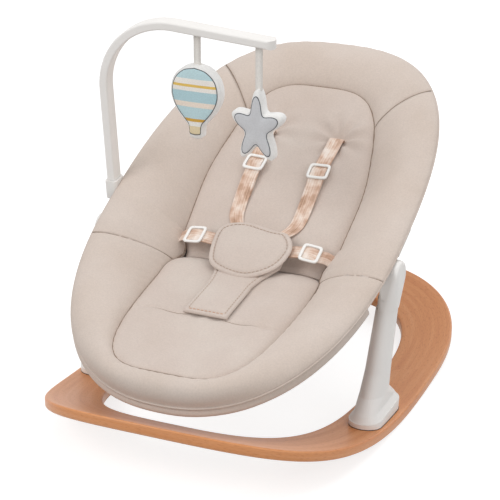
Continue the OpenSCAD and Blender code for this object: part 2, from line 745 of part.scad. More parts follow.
module toy_pins() {
    color(steel) bar_space() for (d = [balloon_along, star_along])
        translate(on_arm(d)) along_x(-pocket_w / 2 - 2.9, pocket_w / 2 + 2.9, toy_pin_d / 2 - 0.02);
}

module toy_ribbon(length) {
    difference() {
        union() {
            along_x(-ribbon_w / 2, ribbon_w / 2, toy_pin_d / 2 + pin_fit + 0.7);
            translate([-ribbon_w / 2, -ribbon_t / 2, -length])
                cube([ribbon_w, ribbon_t, length - toy_pin_d / 2]);
        }
        along_x(-ribbon_w, ribbon_w, toy_pin_d / 2 + pin_fit);
    }
}

toy_t = 22;
balloon_drop = 44;
star_drop = 60;
star_r = 41;
module balloon_ribbon() color(white) translate(pin_world(balloon_along)) toy_ribbon(balloon_drop);
module star_ribbon() color(white) translate(pin_world(star_along)) toy_ribbon(star_drop);

balloon_r = 34;
function balloon_point(a) = a < 210 || a > 330 ? balloon_r * [cos(a), sin(a)]
    : [9.5 * sign(cos(a)), a < 235 || a > 305 ? -50 : -63];
module balloon_toy() {
    color("#f3f2f0") translate(pin_world(balloon_along)) translate([0, toy_t / 2, -balloon_drop - balloon_r])
        rotate([90, 0, 0]) linear_extrude(toy_t) polygon([for (i = [0 : 35]) balloon_point(i * 10 + 5)]);
}

// The star is taller than it is wide
star_wide = 0.87;
star_tall = 1.2;
star_middle = star_drop + star_r * star_tall;
function star_point(a) = star_r * (0.71 + 0.25 * cos(5 * (a - 90)) + 0.04 * cos(10 * (a - 90)))
    * [star_wide * cos(a), star_tall * sin(a)];
module star_toy() {
    color("#f3f2f0") translate(pin_world(star_along)) translate([0, toy_t / 2, -star_middle])
        rotate([90, 0, 0]) linear_extrude(toy_t) polygon([for (i = [0 : 59]) star_point(i * 6)]);
}

base_ring();
grip_strips();
leg_left();
leg_right();
foot_gaskets();
leg_screws();
hub_left();
hub_right();
hinge_bolts();
friction_washers();
seat_arm_left();
seat_arm_right();
rear_tube();
front_tube();
tube_screws();
under_sling();
seat_pad();
back_pad();
foot_bolster();
wing_left();
wing_right();
head_bolster();
shoulder_strap_left();
shoulder_strap_right();
waist_strap_left();
waist_strap_right();
shoulder_adjusters();
waist_adjusters();
crotch_strap();
buckle_body();
buckle_button();
buckle_spring();
buckle_tongues();
buckle_shield();
bar_clip();
toy_bar();
toy_pins();
balloon_ribbon();
balloon_toy();
star_ribbon();
star_toy();
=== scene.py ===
"""Baby bouncer seat: quilted fabric seat, webbing harness, plush toys, moulded plastic and bent plywood."""
import math

import bmesh
import bpy
import numpy as np
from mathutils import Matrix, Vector, noise


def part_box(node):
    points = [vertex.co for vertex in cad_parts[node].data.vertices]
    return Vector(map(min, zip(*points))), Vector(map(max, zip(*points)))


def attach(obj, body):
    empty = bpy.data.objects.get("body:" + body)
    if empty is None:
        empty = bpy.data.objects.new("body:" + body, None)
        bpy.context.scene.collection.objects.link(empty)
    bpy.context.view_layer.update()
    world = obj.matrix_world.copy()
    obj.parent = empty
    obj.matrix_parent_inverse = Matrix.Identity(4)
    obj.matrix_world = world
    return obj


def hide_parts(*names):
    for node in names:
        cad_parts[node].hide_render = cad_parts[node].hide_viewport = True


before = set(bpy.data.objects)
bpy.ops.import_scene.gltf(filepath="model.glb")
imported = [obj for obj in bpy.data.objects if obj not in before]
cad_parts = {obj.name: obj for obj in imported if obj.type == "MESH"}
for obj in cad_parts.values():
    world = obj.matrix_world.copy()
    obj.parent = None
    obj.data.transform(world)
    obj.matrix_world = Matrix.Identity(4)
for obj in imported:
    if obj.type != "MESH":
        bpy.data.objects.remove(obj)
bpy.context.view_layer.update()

MM = 0.001

# ---------------- sizes of the seat, in millimetres
TILT = math.radians(24)
PIVOT_Y, PIVOT_Z, PIVOT_DROP = -38.0, 200.0, 24.0
RIM_C, RIM_W, RIM_FRONT, RIM_BACK = 34.0, 400.0, 310.0, 349.0
CREASE_DEPTH, CREASE_S = 52.0, 4.0
# How fast the pads' seam line climbs from the crease to the foot and to the head
FOOT_SLOPE, BACK_SLOPE = 0.296, 0.172
FOOT_DROP, RIM_FOOT, RIM_FLAT = 2.0, 276.0, -26.0
SEAM_W, SEAM_BACK, SEAM_FRONT = 107.0, 263.0, 282.0
PAD_T = 14.0
RIM_PUFF, FOOT_BULGE, FULLNESS = 16.0, 12.0, 1.35
TUBE_R, RIM_TO_TUBE = 8.0, 25.75
TUBE_LOW = -26.0
ARM_IN = 163.5
# The seams across the rim run askew: each pair is the angle at the pads and the angle at the edge
FOOT_SEAM, HEAD_SEAM = (26.0, 19.5), (66.0, 61.5)


def full_turn(steps):
    """Even angles all the way round."""
    return np.linspace(0, 2 * math.pi, steps, endpoint=False)


def hump(d, width):
    """One at no distance, fading smoothly to nothing over about twice the width."""
    return np.exp(-((d / width) ** 2))


def crown(d, height, width):
    """Height of stuffed cloth at a distance from its seam, rising to its full height over a few widths."""
    return height * (1 - np.exp(-d / width))


def from_middle(a, r):
    """Seat coordinates across and up the slope, at an angle and a reach from the rim's middle."""
    return r * np.cos(a), RIM_C + r * np.sin(a)


def seam_h(s):
    """Height of the pads' seam line over the rim plane, at the distance s up the slope."""
    s = np.asarray(s, float)
    return -CREASE_DEPTH + np.where(s < CREASE_S, (CREASE_S - s) * FOOT_SLOPE, (s - CREASE_S) * BACK_SLOPE)


def rim_h(s):
    s = np.asarray(s, float)
    return np.where(s < RIM_FLAT, -FOOT_DROP * ((RIM_FLAT - s) / (RIM_FOOT + RIM_FLAT)) ** 2, 0.0)


def reach(a, half_w, half_l, power):
    """How far out a superellipse lies at an angle."""
    return ((np.abs(np.cos(a)) / half_w) ** power + (np.abs(np.sin(a)) / half_l) ** power) ** (-1 / power)


def rim_reach(a):
    return np.where(np.sin(a) < 0, reach(a, RIM_W / 2, RIM_FRONT, 2.3), reach(a, RIM_W / 2, RIM_BACK, 2.7))


def seam_reach(a):
    """The pads' seam, which the waist straps pull in at the crease and which bows out beside the back."""
    r = np.where(np.sin(a) < 0, reach(a, SEAM_W - 3, SEAM_FRONT, 4), reach(a, SEAM_W, SEAM_BACK, 3.5))
    s = from_middle(a, r)[1]
    return r * (1 - 0.08 * hump(s - CREASE_S, 22) + 0.04 * hump(s - 125, 55))


def to_world(p):
    """Seat coordinates (across, up the slope, square to the rim) in mm to the frame in metres."""
    p = np.asarray(p, float)
    x, s, h = p[..., 0], p[..., 1], p[..., 2] + PIVOT_DROP
    c, n = math.cos(TILT), math.sin(TILT)
    return np.stack([x, PIVOT_Y + s * c - h * n, PIVOT_Z + s * n + h * c], -1) * MM


# ---------------- mesh making
def make_mesh(name, points, faces, uvs=None):
    """A smooth-shaded piece, whose texture coordinates are metres along and across it."""
    mesh = bpy.data.meshes.new(name)
    mesh.from_pydata([tuple(map(float, p)) for p in points], [], faces)
    mesh.validate()
    # every face looks outwards
    shell = bmesh.new()
    shell.from_mesh(mesh)
    bmesh.ops.recalc_face_normals(shell, faces=shell.faces)
    shell.to_mesh(mesh)
    shell.free()
    if uvs is not None:
        layer = mesh.uv_layers.new(name="cloth")
        flat = np.asarray(uvs, float)
        idx = np.empty(len(mesh.loops), dtype=np.int64)
        mesh.loops.foreach_get("vertex_index", idx)
        layer.data.foreach_set("uv", flat[idx].ravel())
    mesh.polygons.foreach_set("use_smooth", [True] * len(mesh.polygons))
    piece = bpy.data.objects.new(name, mesh)
    bpy.context.scene.collection.objects.link(piece)
    return piece


def grid_faces(rows, cols, close_rows=False, close_cols=False, start=0, flip=False):
    """Quads between neighbouring points of a grid, which closes into a loop one way or both."""
    faces = []
    for i in range(rows if close_rows else rows - 1):
        for j in range(cols if close_cols else cols - 1):
            a, b = i * cols + j, i * cols + (j + 1) % cols
            c, d = ((i + 1) % rows) * cols + (j + 1) % cols, ((i + 1) % rows) * cols + j
            quad = [start + a, start + b, start + c, start + d]
            faces.append(quad[::-1] if flip else quad)
    return faces


def tube_faces(rows, cols):
    """Quads of a tube made of rings of points, with a cap on each end."""
    caps = [list(range(cols))[::-1], [(rows - 1) * cols + j for j in range(cols)]]
    return grid_faces(rows, cols, close_cols=True) + caps


def walls(rows, cols, rim_first=False):
    """Quads round the rim of a grid of points, down to a second grid that follows it."""
    low = rows * cols
    rim = list(range(cols)) + [i * cols + cols - 1 for i in range(1, rows)]
    rim += [(rows - 1) * cols + j for j in range(cols - 2, -1, -1)]
    rim += [i * cols for i in range(rows - 2, 0, -1)]
    pairs = zip(rim, rim[1:] + rim[:1])
    return [[b, low + b, low + a, a] if rim_first else [a, low + a, low + b, b] for a, b in pairs]


def smooth_path(points, per_leg=10):
    """Catmull-Rom curve through the points, as an array."""
    p = np.asarray(points, float)
    q = np.concatenate([[2 * p[0] - p[1]], p, [2 * p[-1] - p[-2]]])
    out = []
    for i in range(1, len(q) - 2):
        for t in np.linspace(0, 1, per_leg, endpoint=False):
            a, b, c, d = q[i - 1], q[i], q[i + 1], q[i + 2]
            bend, twist = 2 * a - 5 * b + 4 * c - d, 3 * b - a - 3 * c + d
            out.append(0.5 * (2 * b + (c - a) * t + bend * t**2 + twist * t**3))
    out.append(p[-1])
    return np.array(out)


def lengths(path):
    """Distance of each point of a path from its start, along it."""
    steps = np.linalg.norm(np.diff(path, axis=0), axis=1)
    return np.concatenate([[0], np.cumsum(steps)])


def cord_mesh(name, path, radius, sides=6, closed=False):
    """Round cord or piping along a path in metres."""
    path = np.asarray(path, float)
    n = len(path)
    ahead = np.roll(path, -1, 0) if closed else np.vstack([path[1:], 2 * path[-1] - path[-2]])
    behind = np.roll(path, 1, 0) if closed else np.vstack([2 * path[0] - path[1], path[:-1]])
    along = ahead - behind
    along /= np.linalg.norm(along, axis=1)[:, None] + 1e-12
    up = np.tile([0.0, 0.0, 1.0], (n, 1))
    steep = np.abs(along[:, 2]) > 0.95
    up[steep] = [0, 1, 0]
    side = np.cross(along, up)
    side /= np.linalg.norm(side, axis=1)[:, None]
    top = np.cross(side, along)
    turn = full_turn(sides)
    rings = path[:, None, :] + radius * (np.cos(turn)[None, :, None] * side[:, None, :]
                                         + np.sin(turn)[None, :, None] * top[:, None, :])
    faces = grid_faces(n, sides, close_rows=True, close_cols=True) if closed else tube_faces(n, sides)
    dist = lengths(path)
    uvs = np.stack([np.repeat(dist, sides), np.tile(turn * radius, n)], -1)
    return make_mesh(name, rings.reshape(-1, 3), faces, uvs)


def joined(name, pieces):
    """One mesh out of several."""
    points, faces, uvs, base = [], [], [], 0
    for o in pieces:
        mesh = o.data
        points += [tuple(v.co) for v in mesh.vertices]
        faces += [[base + v for v in p.vertices] for p in mesh.polygons]
        uv = np.zeros((len(mesh.vertices), 2))
        if mesh.uv_layers:
            for loop, item in zip(mesh.loops, mesh.uv_layers[0].data):
                uv[loop.vertex_index] = item.uv
        uvs.append(uv)
        base += len(mesh.vertices)
        bpy.data.objects.remove(o)
    return make_mesh(name, points, faces, np.vstack(uvs))


def ripple(x, y, z, scale, seed):
    """Smooth noise between -1 and 1, with features about scale mm wide."""
    return noise.noise(Vector((x / scale + seed, y / scale - seed, z / scale + 2 * seed)))


def ripple_field(points, scale, seed):
    return np.array([ripple(*p, scale, seed) for p in points.reshape(-1, 3)]).reshape(points.shape[:-1])


# ---------------- materials
def linear(hex_colour):
    """An sRGB hex colour as the linear RGBA that shaders take."""
    v = [int(hex_colour.lstrip("#")[i : i + 2], 16) / 255 for i in (0, 2, 4)]
    return [c / 12.92 if c <= 0.04045 else ((c + 0.055) / 1.055) ** 2.4 for c in v] + [1.0]


def add_node(tree, kind, inputs=None, stops=(), **settings):
    """Adds a shader node with its settings. An input takes a value, a socket, or a node for its first output.
    A colour ramp takes its stops, each with its place and colour."""
    node = tree.nodes.new("ShaderNode" + kind)
    for key, value in settings.items():
        setattr(node, key, value)
    for key, value in (inputs or {}).items():
        if isinstance(value, bpy.types.Node):
            value = value.outputs[0]
        if isinstance(value, bpy.types.NodeSocket):
            tree.links.new(value, node.inputs[key])
        else:
            node.inputs[key].default_value = value
    for k, (place, colour) in enumerate(stops):
        element = node.color_ramp.elements[k] if k < 2 else node.color_ramp.elements.new(place)
        element.position = place
        element.color = linear(colour)
    return node


def new_material(name, roughness, sheen=0.0, sheen_roughness=0.5, specular=0.5, metallic=0.0):
    """A material and its tree, with a Principled shader that has no colour yet."""
    material = bpy.data.materials.new(name)
    material.use_nodes = True
    tree = material.node_tree
    shader = tree.nodes["Principled BSDF"]
    values = {"Roughness": roughness, "Metallic": metallic, "Sheen Weight": sheen,
              "Sheen Roughness": sheen_roughness}
    if metallic == 0:
        values |= {"IOR": 1.5, "Specular IOR Level": specular}
    for key, value in values.items():
        shader.inputs[key].default_value = value
    return material, tree


def finished(material, colour, relief=None):
    """The material, with its colour and its bump joined to the shader."""
    tree = material.node_tree
    shader = tree.nodes["Principled BSDF"]
    tree.links.new(colour, shader.inputs["Base Color"])
    if relief:
        tree.links.new(relief.outputs["Normal"], shader.inputs["Normal"])
    return material


MULTIPLIED = {"data_type": "RGBA", "blend_type": "MULTIPLY"}


def woven_cotton(name, base, light, dark, thread_mm=1.1, sheen=0.2):
    """Brushed cotton-blend canvas: a matt face with a soft bloom at grazing angles and a faint thread
    texture. The 0.4 mm thread is drawn at about 1 mm, because the real one is too fine to show."""
    material, tree = new_material(name, 0.9, sheen=sheen, sheen_roughness=0.6, specular=0.25)
    place = add_node(tree, "TexCoord").outputs["Object"]
    blotch = add_node(tree, "TexNoise",
                      {"Vector": place, "Scale": 1 / 0.09, "Detail": 3.0, "Roughness": 0.55})
    colour = add_node(tree, "ValToRGB", {"Fac": blotch}, [(0.3, dark), (0.5, base), (0.7, light)])
    weave = add_node(tree, "TexNoise",
                     {"Vector": place, "Scale": 1000 / thread_mm / 2, "Detail": 2.0, "Roughness": 0.7})
    flecks = add_node(tree, "ValToRGB", {"Fac": weave}, [(0.35, "#e8e8e8"), (0.65, "#ffffff")])
    mixed = add_node(tree, "Mix", {"Factor": 0.4, "A": colour, "B": flecks}, **MULTIPLIED)
    crumple = add_node(tree, "TexNoise",
                       {"Vector": place, "Scale": 1 / 0.03, "Detail": 4.0, "Roughness": 0.5})
    soft = add_node(tree, "Bump", {"Height": crumple, "Strength": 0.16, "Distance": 0.0012})
    fine = add_node(tree, "Bump", {"Height": weave, "Strength": 0.3, "Distance": 0.0002, "Normal": soft})
    return finished(material, mixed.outputs["Result"], fine)


def satin_webbing(name):
    """Polyester harness webbing with a satin face: cream, with browner patches about 26 mm long and 18 mm
    wide that are painted shade for the satin's broad shading, fine lengthwise ribs 2 mm apart, and crosswise
    threads drawn 1 mm apart, as bumps and as a painted glint."""
    material, tree = new_material(name, 0.42, sheen=0.15, specular=0.45)
    uv = add_node(tree, "UVMap", uv_map="cloth")
    stretch = add_node(tree, "Mapping", {"Vector": uv, "Scale": (38.0, 55.0, 1.0)})
    # painted shade: browner patches that stand for the satin's broad shading and its folds
    painted_shade_patches = add_node(tree, "TexNoise", {"Vector": stretch, "Scale": 1.0, "Detail": 2.0, "Roughness": 0.6})
    lengthwise = add_node(tree, "Mapping", {"Vector": uv, "Scale": (6.0, 480.0, 1.0)})
    floats = add_node(tree, "TexNoise", {"Vector": lengthwise, "Scale": 1.0, "Detail": 1.0})
    face = add_node(tree, "Mix", {"Factor": 0.3, "A": painted_shade_patches, "B": floats})
    colour = add_node(tree, "ValToRGB", {"Fac": face},
                      [(0.36, "#ad8970"), (0.45, "#cfab94"), (0.53, "#e5cdbc"), (0.64, "#f2e5db")])
    crosswise = add_node(tree, "Mapping", {"Vector": uv, "Scale": (900.0, 90.0, 1.0)})
    picks = add_node(tree, "TexNoise", {"Vector": crosswise, "Scale": 1.0, "Detail": 1.0})
    # painted highlight: a fine glint on the crosswise threads
    painted_thread_glint = add_node(tree, "ValToRGB", {"Fac": picks}, [(0.35, "#e2dcd8"), (0.62, "#ffffff")])
    mixed = add_node(tree, "Mix", {"Factor": 0.35, "A": colour, "B": painted_thread_glint}, **MULTIPLIED)
    bump = add_node(tree, "Bump", {"Height": picks, "Strength": 0.35, "Distance": 0.0003})
    return finished(material, mixed.outputs["Result"], bump)


def moulded_plastic(name, base, shade, roughness=0.45):
    """Injection-moulded plastic with a fine spark texture, which keeps the highlights broad and dull.
    Its 1.2 mm grain is coarser than the real one, which is too fine to show."""
    material, tree = new_material(name, roughness, specular=0.45)
    place = add_node(tree, "TexCoord").outputs["Object"]
    cloud = add_node(tree, "TexNoise", {"Vector": place, "Scale": 1 / 0.12, "Detail": 2.0})
    colour = add_node(tree, "ValToRGB", {"Fac": cloud}, [(0.3, shade), (0.65, base)])
    spark = add_node(tree, "TexNoise", {"Vector": place, "Scale": 1000 / 1.2, "Detail": 1.0})
    bump = add_node(tree, "Bump", {"Height": spark, "Strength": 0.12, "Distance": 0.0001})
    return finished(material, colour.outputs["Color"], bump)


def lacquered_beech(name):
    """Beech face veneer under satin lacquer: straight grain along the strip, about 8 mm wide, and short dark
    rays about 6 mm long."""
    material, tree = new_material(name, 0.38, specular=0.4)
    uv = add_node(tree, "UVMap", uv_map="cloth")
    along = add_node(tree, "Mapping", {"Vector": uv, "Scale": (5.0, 120.0, 1.0)})
    figure = add_node(tree, "TexNoise",
                      {"Vector": along, "Scale": 1.0, "Detail": 5.0, "Roughness": 0.6, "Distortion": 0.4})
    colour = add_node(tree, "ValToRGB", {"Fac": figure},
                      [(0.28, "#d08654"), (0.5, "#da945f"), (0.72, "#e1a071")])
    short = add_node(tree, "Mapping", {"Vector": uv, "Scale": (160.0, 900.0, 1.0)})
    rays = add_node(tree, "TexNoise", {"Vector": short, "Scale": 1.0, "Detail": 2.0})
    specks = add_node(tree, "ValToRGB", {"Fac": rays}, [(0.3, "#d8c0aa"), (0.48, "#ffffff")])
    mixed = add_node(tree, "Mix", {"Factor": 0.5, "A": colour, "B": specks}, **MULTIPLIED)
    bump = add_node(tree, "Bump", {"Height": rays, "Strength": 0.08, "Distance": 0.0003})
    return finished(material, mixed.outputs["Result"], bump)


def plain_finish(name, base, shade, roughness, scale_mm, metallic=0.0):
    """A finish with one cloud of shade and one fine bump, for rubber, nylon, steel and thread."""
    material, tree = new_material(name, roughness, metallic=metallic)
    place = add_node(tree, "TexCoord").outputs["Object"]
    cloud = add_node(tree, "TexNoise", {"Vector": place, "Scale": 1000 / scale_mm, "Detail": 3.0})
    colour = add_node(tree, "ValToRGB", {"Fac": cloud}, [(0.3, shade), (0.7, base)])
    bump = add_node(tree, "Bump", {"Height": cloud, "Strength": 0.4, "Distance": 0.05 * MM})
    return finished(material, colour.outputs["Color"], bump)


def printed_cotton(name, stops, low, high):
    """Cotton print in flat horizontal bands, between two heights in metres. The thread is drawn at 0.7 mm,
    because the real one is too fine to show."""
    material, tree = new_material(name, 0.85, sheen=0.15, specular=0.25)
    uv = add_node(tree, "UVMap", uv_map="cloth")
    height = add_node(tree, "SeparateXYZ", {"Vector": uv}).outputs["Y"]
    level = add_node(tree, "MapRange", {"Value": height, "From Min": low, "From Max": high})
    bands = add_node(tree, "ValToRGB", {"Fac": level}, stops)
    bands.color_ramp.interpolation = "CONSTANT"
    place = add_node(tree, "TexCoord").outputs["Object"]
    weave = add_node(tree, "TexNoise", {"Vector": place, "Scale": 700.0, "Detail": 2.0})
    flecks = add_node(tree, "ValToRGB", {"Fac": weave}, [(0.35, "#e6e6e6"), (0.65, "#ffffff")])
    mixed = add_node(tree, "Mix", {"Factor": 0.5, "A": bands, "B": flecks}, **MULTIPLIED)
    return finished(material, mixed.outputs["Result"])


seat_cotton = woven_cotton("seat cotton, brushed", "#d3c4b9", "#d6c8be", "#cfbfb3")
pad_cotton = woven_cotton("pad cotton, brushed", "#d2c3b9", "#d6c9bf", "#cebeb3")
# painted shade: a dark cord colour for the shadow in the seam grooves
painted_seam_shadow = plain_finish("seam shadow thread", "#a18e7f", "#8d7a6b", 0.9, 2.0)
stitch_thread = plain_finish("polyester stitching thread", "#c4ac99", "#a98f7c", 0.6, 1.0)
peach_thread = plain_finish("peach hem thread", "#dcab8a", "#cb9672", 0.7, 1.5)
webbing_satin = satin_webbing("satin polyester webbing")
white_plastic = moulded_plastic("white polypropylene, spark textured", "#f0edea", "#eae7e3")
clip_plastic = moulded_plastic("white acetal clips", "#f4f2ef", "#ecebe7", roughness=0.35)
grip_rubber = plain_finish("rubber, matt", "#5f5a55", "#4d4945", 0.85, 1.5)
washer_nylon = plain_finish("grey nylon washer", "#8d8a86", "#7b7874", 0.6, 3.0)
bright_steel = plain_finish("zinc-plated steel", "#c3c5c6", "#a9abad", 0.32, 4.0, metallic=1.0)
beech_face = lacquered_beech("lacquered beech veneer")
plush_white = woven_cotton("white brushed plush", "#f1f0ee", "#f6f5f3", "#ebe9e6", 1.6, 0.4)
ribbon_white = woven_cotton("white grosgrain ribbon", "#ebe7e1", "#f2efea", "#e2ddd6", 1.0, 0.1)
star_grey = woven_cotton("grey melange cotton", "#d0d1d4", "#d8d9db", "#c6c7ca", 1.0, 0.15)
outline_thread = plain_finish("dark blue-grey outline thread", "#4a5058", "#363b42", 0.7, 1.0)
balloon_print = printed_cotton("banded balloon print", [
    (0.0, "#ead9b4"), (0.13, "#f1efe9"), (0.2, "#d7a94e"), (0.25, "#c3dde2"), (0.42, "#f2e4d6"),
    (0.5, "#b7d5dc"), (0.66, "#f4efe8"), (0.72, "#e9c46a"), (0.76, "#f4efe8"), (0.84, "#c3dde2")],
    -0.056, 0.0306)


def fit(piece, body, material, node=None):
    """Gives a piece its finish and its place: the body it rides on. The CAD node that it stands for, if
    given, is hidden."""
    if node:
        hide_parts(node)
    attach(piece, body)
    piece.data.materials.append(material)


# ---------------- camera and light
def look_at(obj, target):
    obj.rotation_euler = (Vector(target) - obj.location).to_track_quat("-Z", "Y").to_euler()


scene = bpy.context.scene
scene.view_settings.view_transform = "Standard"

camera = bpy.data.objects.new("camera", bpy.data.cameras.new("camera"))
scene.collection.objects.link(camera)
azimuth, elevation, distance = math.radians(23.4), math.radians(22.8), 2.281
target = Vector((0.002, -0.030, 0.197))
away = Vector((math.sin(azimuth) * math.cos(elevation), -math.cos(azimuth) * math.cos(elevation),
               math.sin(elevation)))
camera.location = target + distance * away
look_at(camera, target)
camera.data.sensor_width = 36
camera.data.lens = 129.6
scene.camera = camera

# each softbox: its place and aim in metres, its size in metres and its power in watts
for name, place, aim, size, power in (
        ("key softbox", (-1.5, -2.0, 2.1), (0, 0, 0.2), 1.6, 31),
        ("overhead softbox", (0.2, 0.3, 2.6), (0, 0, 0.1), 2.2, 18),
        ("fill softbox", (2.3, -1.2, 1.2), (0, 0, 0.2), 1.8, 15),
        ("rim softbox", (0.6, 2.4, 1.6), (0, 0, 0.25), 1.6, 11)):
    lamp = bpy.data.lights.new(name, "AREA")
    lamp.shape = "SQUARE"
    lamp.size = size
    lamp.energy = power
    softbox = bpy.data.objects.new(name, lamp)
    scene.collection.objects.link(softbox)
    softbox.location = place
    look_at(softbox, aim)


def mixed_by_ray(tree, lighting, seen):
    """Lights the object with one shader, and shows the other where the backdrop is seen, reflected or seen
    through."""
    rays = add_node(tree, "LightPath")
    near = add_node(tree, "Math", {0: rays.outputs["Is Camera Ray"], 1: rays.outputs["Is Glossy Ray"]},
                    operation="MAXIMUM")
    looked_at = add_node(tree, "Math", {0: near, 1: rays.outputs["Is Transmission Ray"]}, operation="MAXIMUM")
    return add_node(tree, "MixShader", {0: looked_at, 1: lighting, 2: seen})


world = bpy.data.worlds.new("studio")
scene.world = world
world.use_nodes = True
sky = world.node_tree
sky.nodes.clear()
room = add_node(sky, "Background", {"Color": linear("#ffffff"), "Strength": 0.52})
backdrop = add_node(sky, "Background", {"Color": linear("#ffffff"), "Strength": 1.0})
add_node(sky, "OutputWorld", {"Surface": mixed_by_ray(sky, room, backdrop)})


def studio_floor():
    """White paper sweep. Seen directly it is lifted to white, and it keeps the object's soft shadow."""
    half = 6.0
    corners = [(-half, -half, 0), (half, -half, 0), (half, half, 0), (-half, half, 0)]
    floor = make_mesh("studio_floor", corners, [[0, 1, 2, 3]])
    material = bpy.data.materials.new("white paper floor")
    material.use_nodes = True
    tree = material.node_tree
    tree.nodes.clear()
    paper = add_node(tree, "BsdfDiffuse", {"Color": linear("#b4b4b4")})
    lift = add_node(tree, "Emission", {"Color": linear("#ffffff"), "Strength": 0.76})
    bright = add_node(tree, "AddShader", {0: paper, 1: lift})
    add_node(tree, "OutputMaterial", {"Surface": mixed_by_ray(tree, paper, bright)})
    floor.data.materials.append(material)


studio_floor()

# ---------------- quilted seat
SLOTS = [(-49.0, 214.0), (49.0, 214.0)]


def slot_pull(x, s):
    """Dimple and radiating pleats where the shoulder webbing comes through the back pad."""
    out = np.zeros_like(x)
    for sx, ss in SLOTS:
        dx, ds = x - sx, s - ss
        r = np.hypot(dx * 0.8, ds)
        angle = np.arctan2(ds, dx)
        out -= 9.0 * hump(r, 13.0) + 3.0 * hump(r, 34.0)
        out += 2.6 * np.cos(8 * angle + 0.8 * sx / 49) * hump(r - 22, 15.0)
    return out


def outline_distance(x, s):
    """Distance in mm from the pads' seam line, inside it."""
    a = np.linspace(0, 2 * math.pi, 721)
    line = np.stack(from_middle(a, seam_reach(a)), -1)
    p = np.stack([x.ravel(), s.ravel()], -1)
    best = np.full(len(p), 1e9)
    for k in range(0, len(line), 60):
        d = np.linalg.norm(p[:, None, :] - line[None, k : k + 60], axis=2).min(1)
        best = np.minimum(best, d)
    return best.reshape(x.shape)


def seam_half_width(s):
    a = np.linspace(-math.pi / 2, math.pi / 2, 1441)
    half, up = from_middle(a, seam_reach(a))
    return np.interp(s, up, half)


def pad_surface(x, s, shape, seed):
    """Height of a pad's top over the rim plane."""
    d = outline_distance(x, s)
    flat = np.stack([x, s, np.zeros_like(x)], -1)
    swell = 1.1 * ripple_field(flat, 58, seed) * np.clip(d / 25, 0, 1)
    wrinkle = 0.4 * ripple_field(flat, 22, seed + 3) * np.clip(d / 15, 0, 1)
    return seam_h(s) + shape(x, s, d) + swell + wrinkle


def pad_piece(name, s0, s1, rows, shape, seed):
    """Closed pad: a shaped top over the seam outline between s0 and s1, with sides and a flat underside."""
    cols = 84
    s_line = s0 + (s1 - s0) * (0.5 - 0.5 * np.cos(np.linspace(0, math.pi, rows)))
    t_line = np.sin(np.linspace(-math.pi / 2, math.pi / 2, cols))
    s = np.repeat(s_line[:, None], cols, 1)
    x = (seam_half_width(s_line)[:, None] - 0.6) * t_line[None, :]
    h = pad_surface(x, s, shape, seed)
    top = np.stack([x, s, h], -1)
    low = np.stack([x, s, np.minimum(seam_h(s) - PAD_T + 1, h - 4)], -1)
    points = np.vstack([to_world(top).reshape(-1, 3), to_world(low).reshape(-1, 3)])
    faces = grid_faces(rows, cols) + grid_faces(rows, cols, start=rows * cols, flip=True) + walls(rows, cols)
    uvs = np.vstack([np.stack([s.ravel(), x.ravel()], -1)] * 2) * MM
    return make_mesh(name, points, faces, uvs)


def back_pad_shape(x, s, d):
    h = -4.0 + crown(d, 6.5, 8.0) + slot_pull(x, s)
    low = np.clip((s - 12) / 34, 0, 1)
    h -= 8.0 * (1 - low) ** 2
    # gathers that run up from the crease, each side of the middle
    gathers = np.cos(x * 0.19 + 1.3 * np.sin(x * 0.05)) * np.clip(np.abs(x) / 40, 0.2, 1)
    return h + 1.8 * hump(s - 24, 16.0) * gathers


HEM_S = -129.0
BACK_SEED, SEAT_SEED = 21.0, 25.0


def seat_pad_shape(x, s, d):
    h = -4.0 + crown(d, 6.0, 7.0) + 2.0 * np.clip((np.abs(x) - 36) / 22, 0, 1) * np.clip(d / 22, 0, 1)
    # the rear edge is a puffy roll that tucks down into the crease
    h += 2.8 * hump(s + 30, 17.0) - 12.0 * np.clip((s + 20) / 24, 0, 1) ** 2
    # quilting seam across the pad, level with the strap's hem
    h -= 3.4 * np.exp(-np.abs(s - HEM_S + 0.02 * np.abs(x)) / 3.2) * np.clip(d / 10, 0, 1)
    h += 1.0 * np.exp(-np.abs(s - HEM_S) / 14.0) * np.cos(x * 0.21 + np.sin(x * 0.07)) * np.clip(d / 10, 0, 1)
    return h


def rim_ends(a):
    """Reach and height of the padding's inner edge, at the pads, and of its outer edge, at the rim."""
    rs, rr = seam_reach(a), rim_reach(a)
    return rs, rr, seam_h(RIM_C + rs * np.sin(a)), rim_h(RIM_C + rr * np.sin(a))


def rim_top(a, u, puff=RIM_PUFF):
    """Reach and height of the padding's face, in the direction a, u of the way from the pads to the rim."""
    rs, rr, hs, he = rim_ends(a)
    width = rr - rs
    swell = np.sin(math.pi * np.clip(u, 0, 1)) ** 0.8
    rise = 1 - (1 - u) ** FULLNESS
    r = rs + width * u + FOOT_BULGE * np.clip(-np.sin(a), 0, 1) * u * np.sin(math.pi * u)
    return r, hs * (1 - rise) + he * rise + puff * swell - 4.5 * np.exp(-width * u / 6.0), width, swell


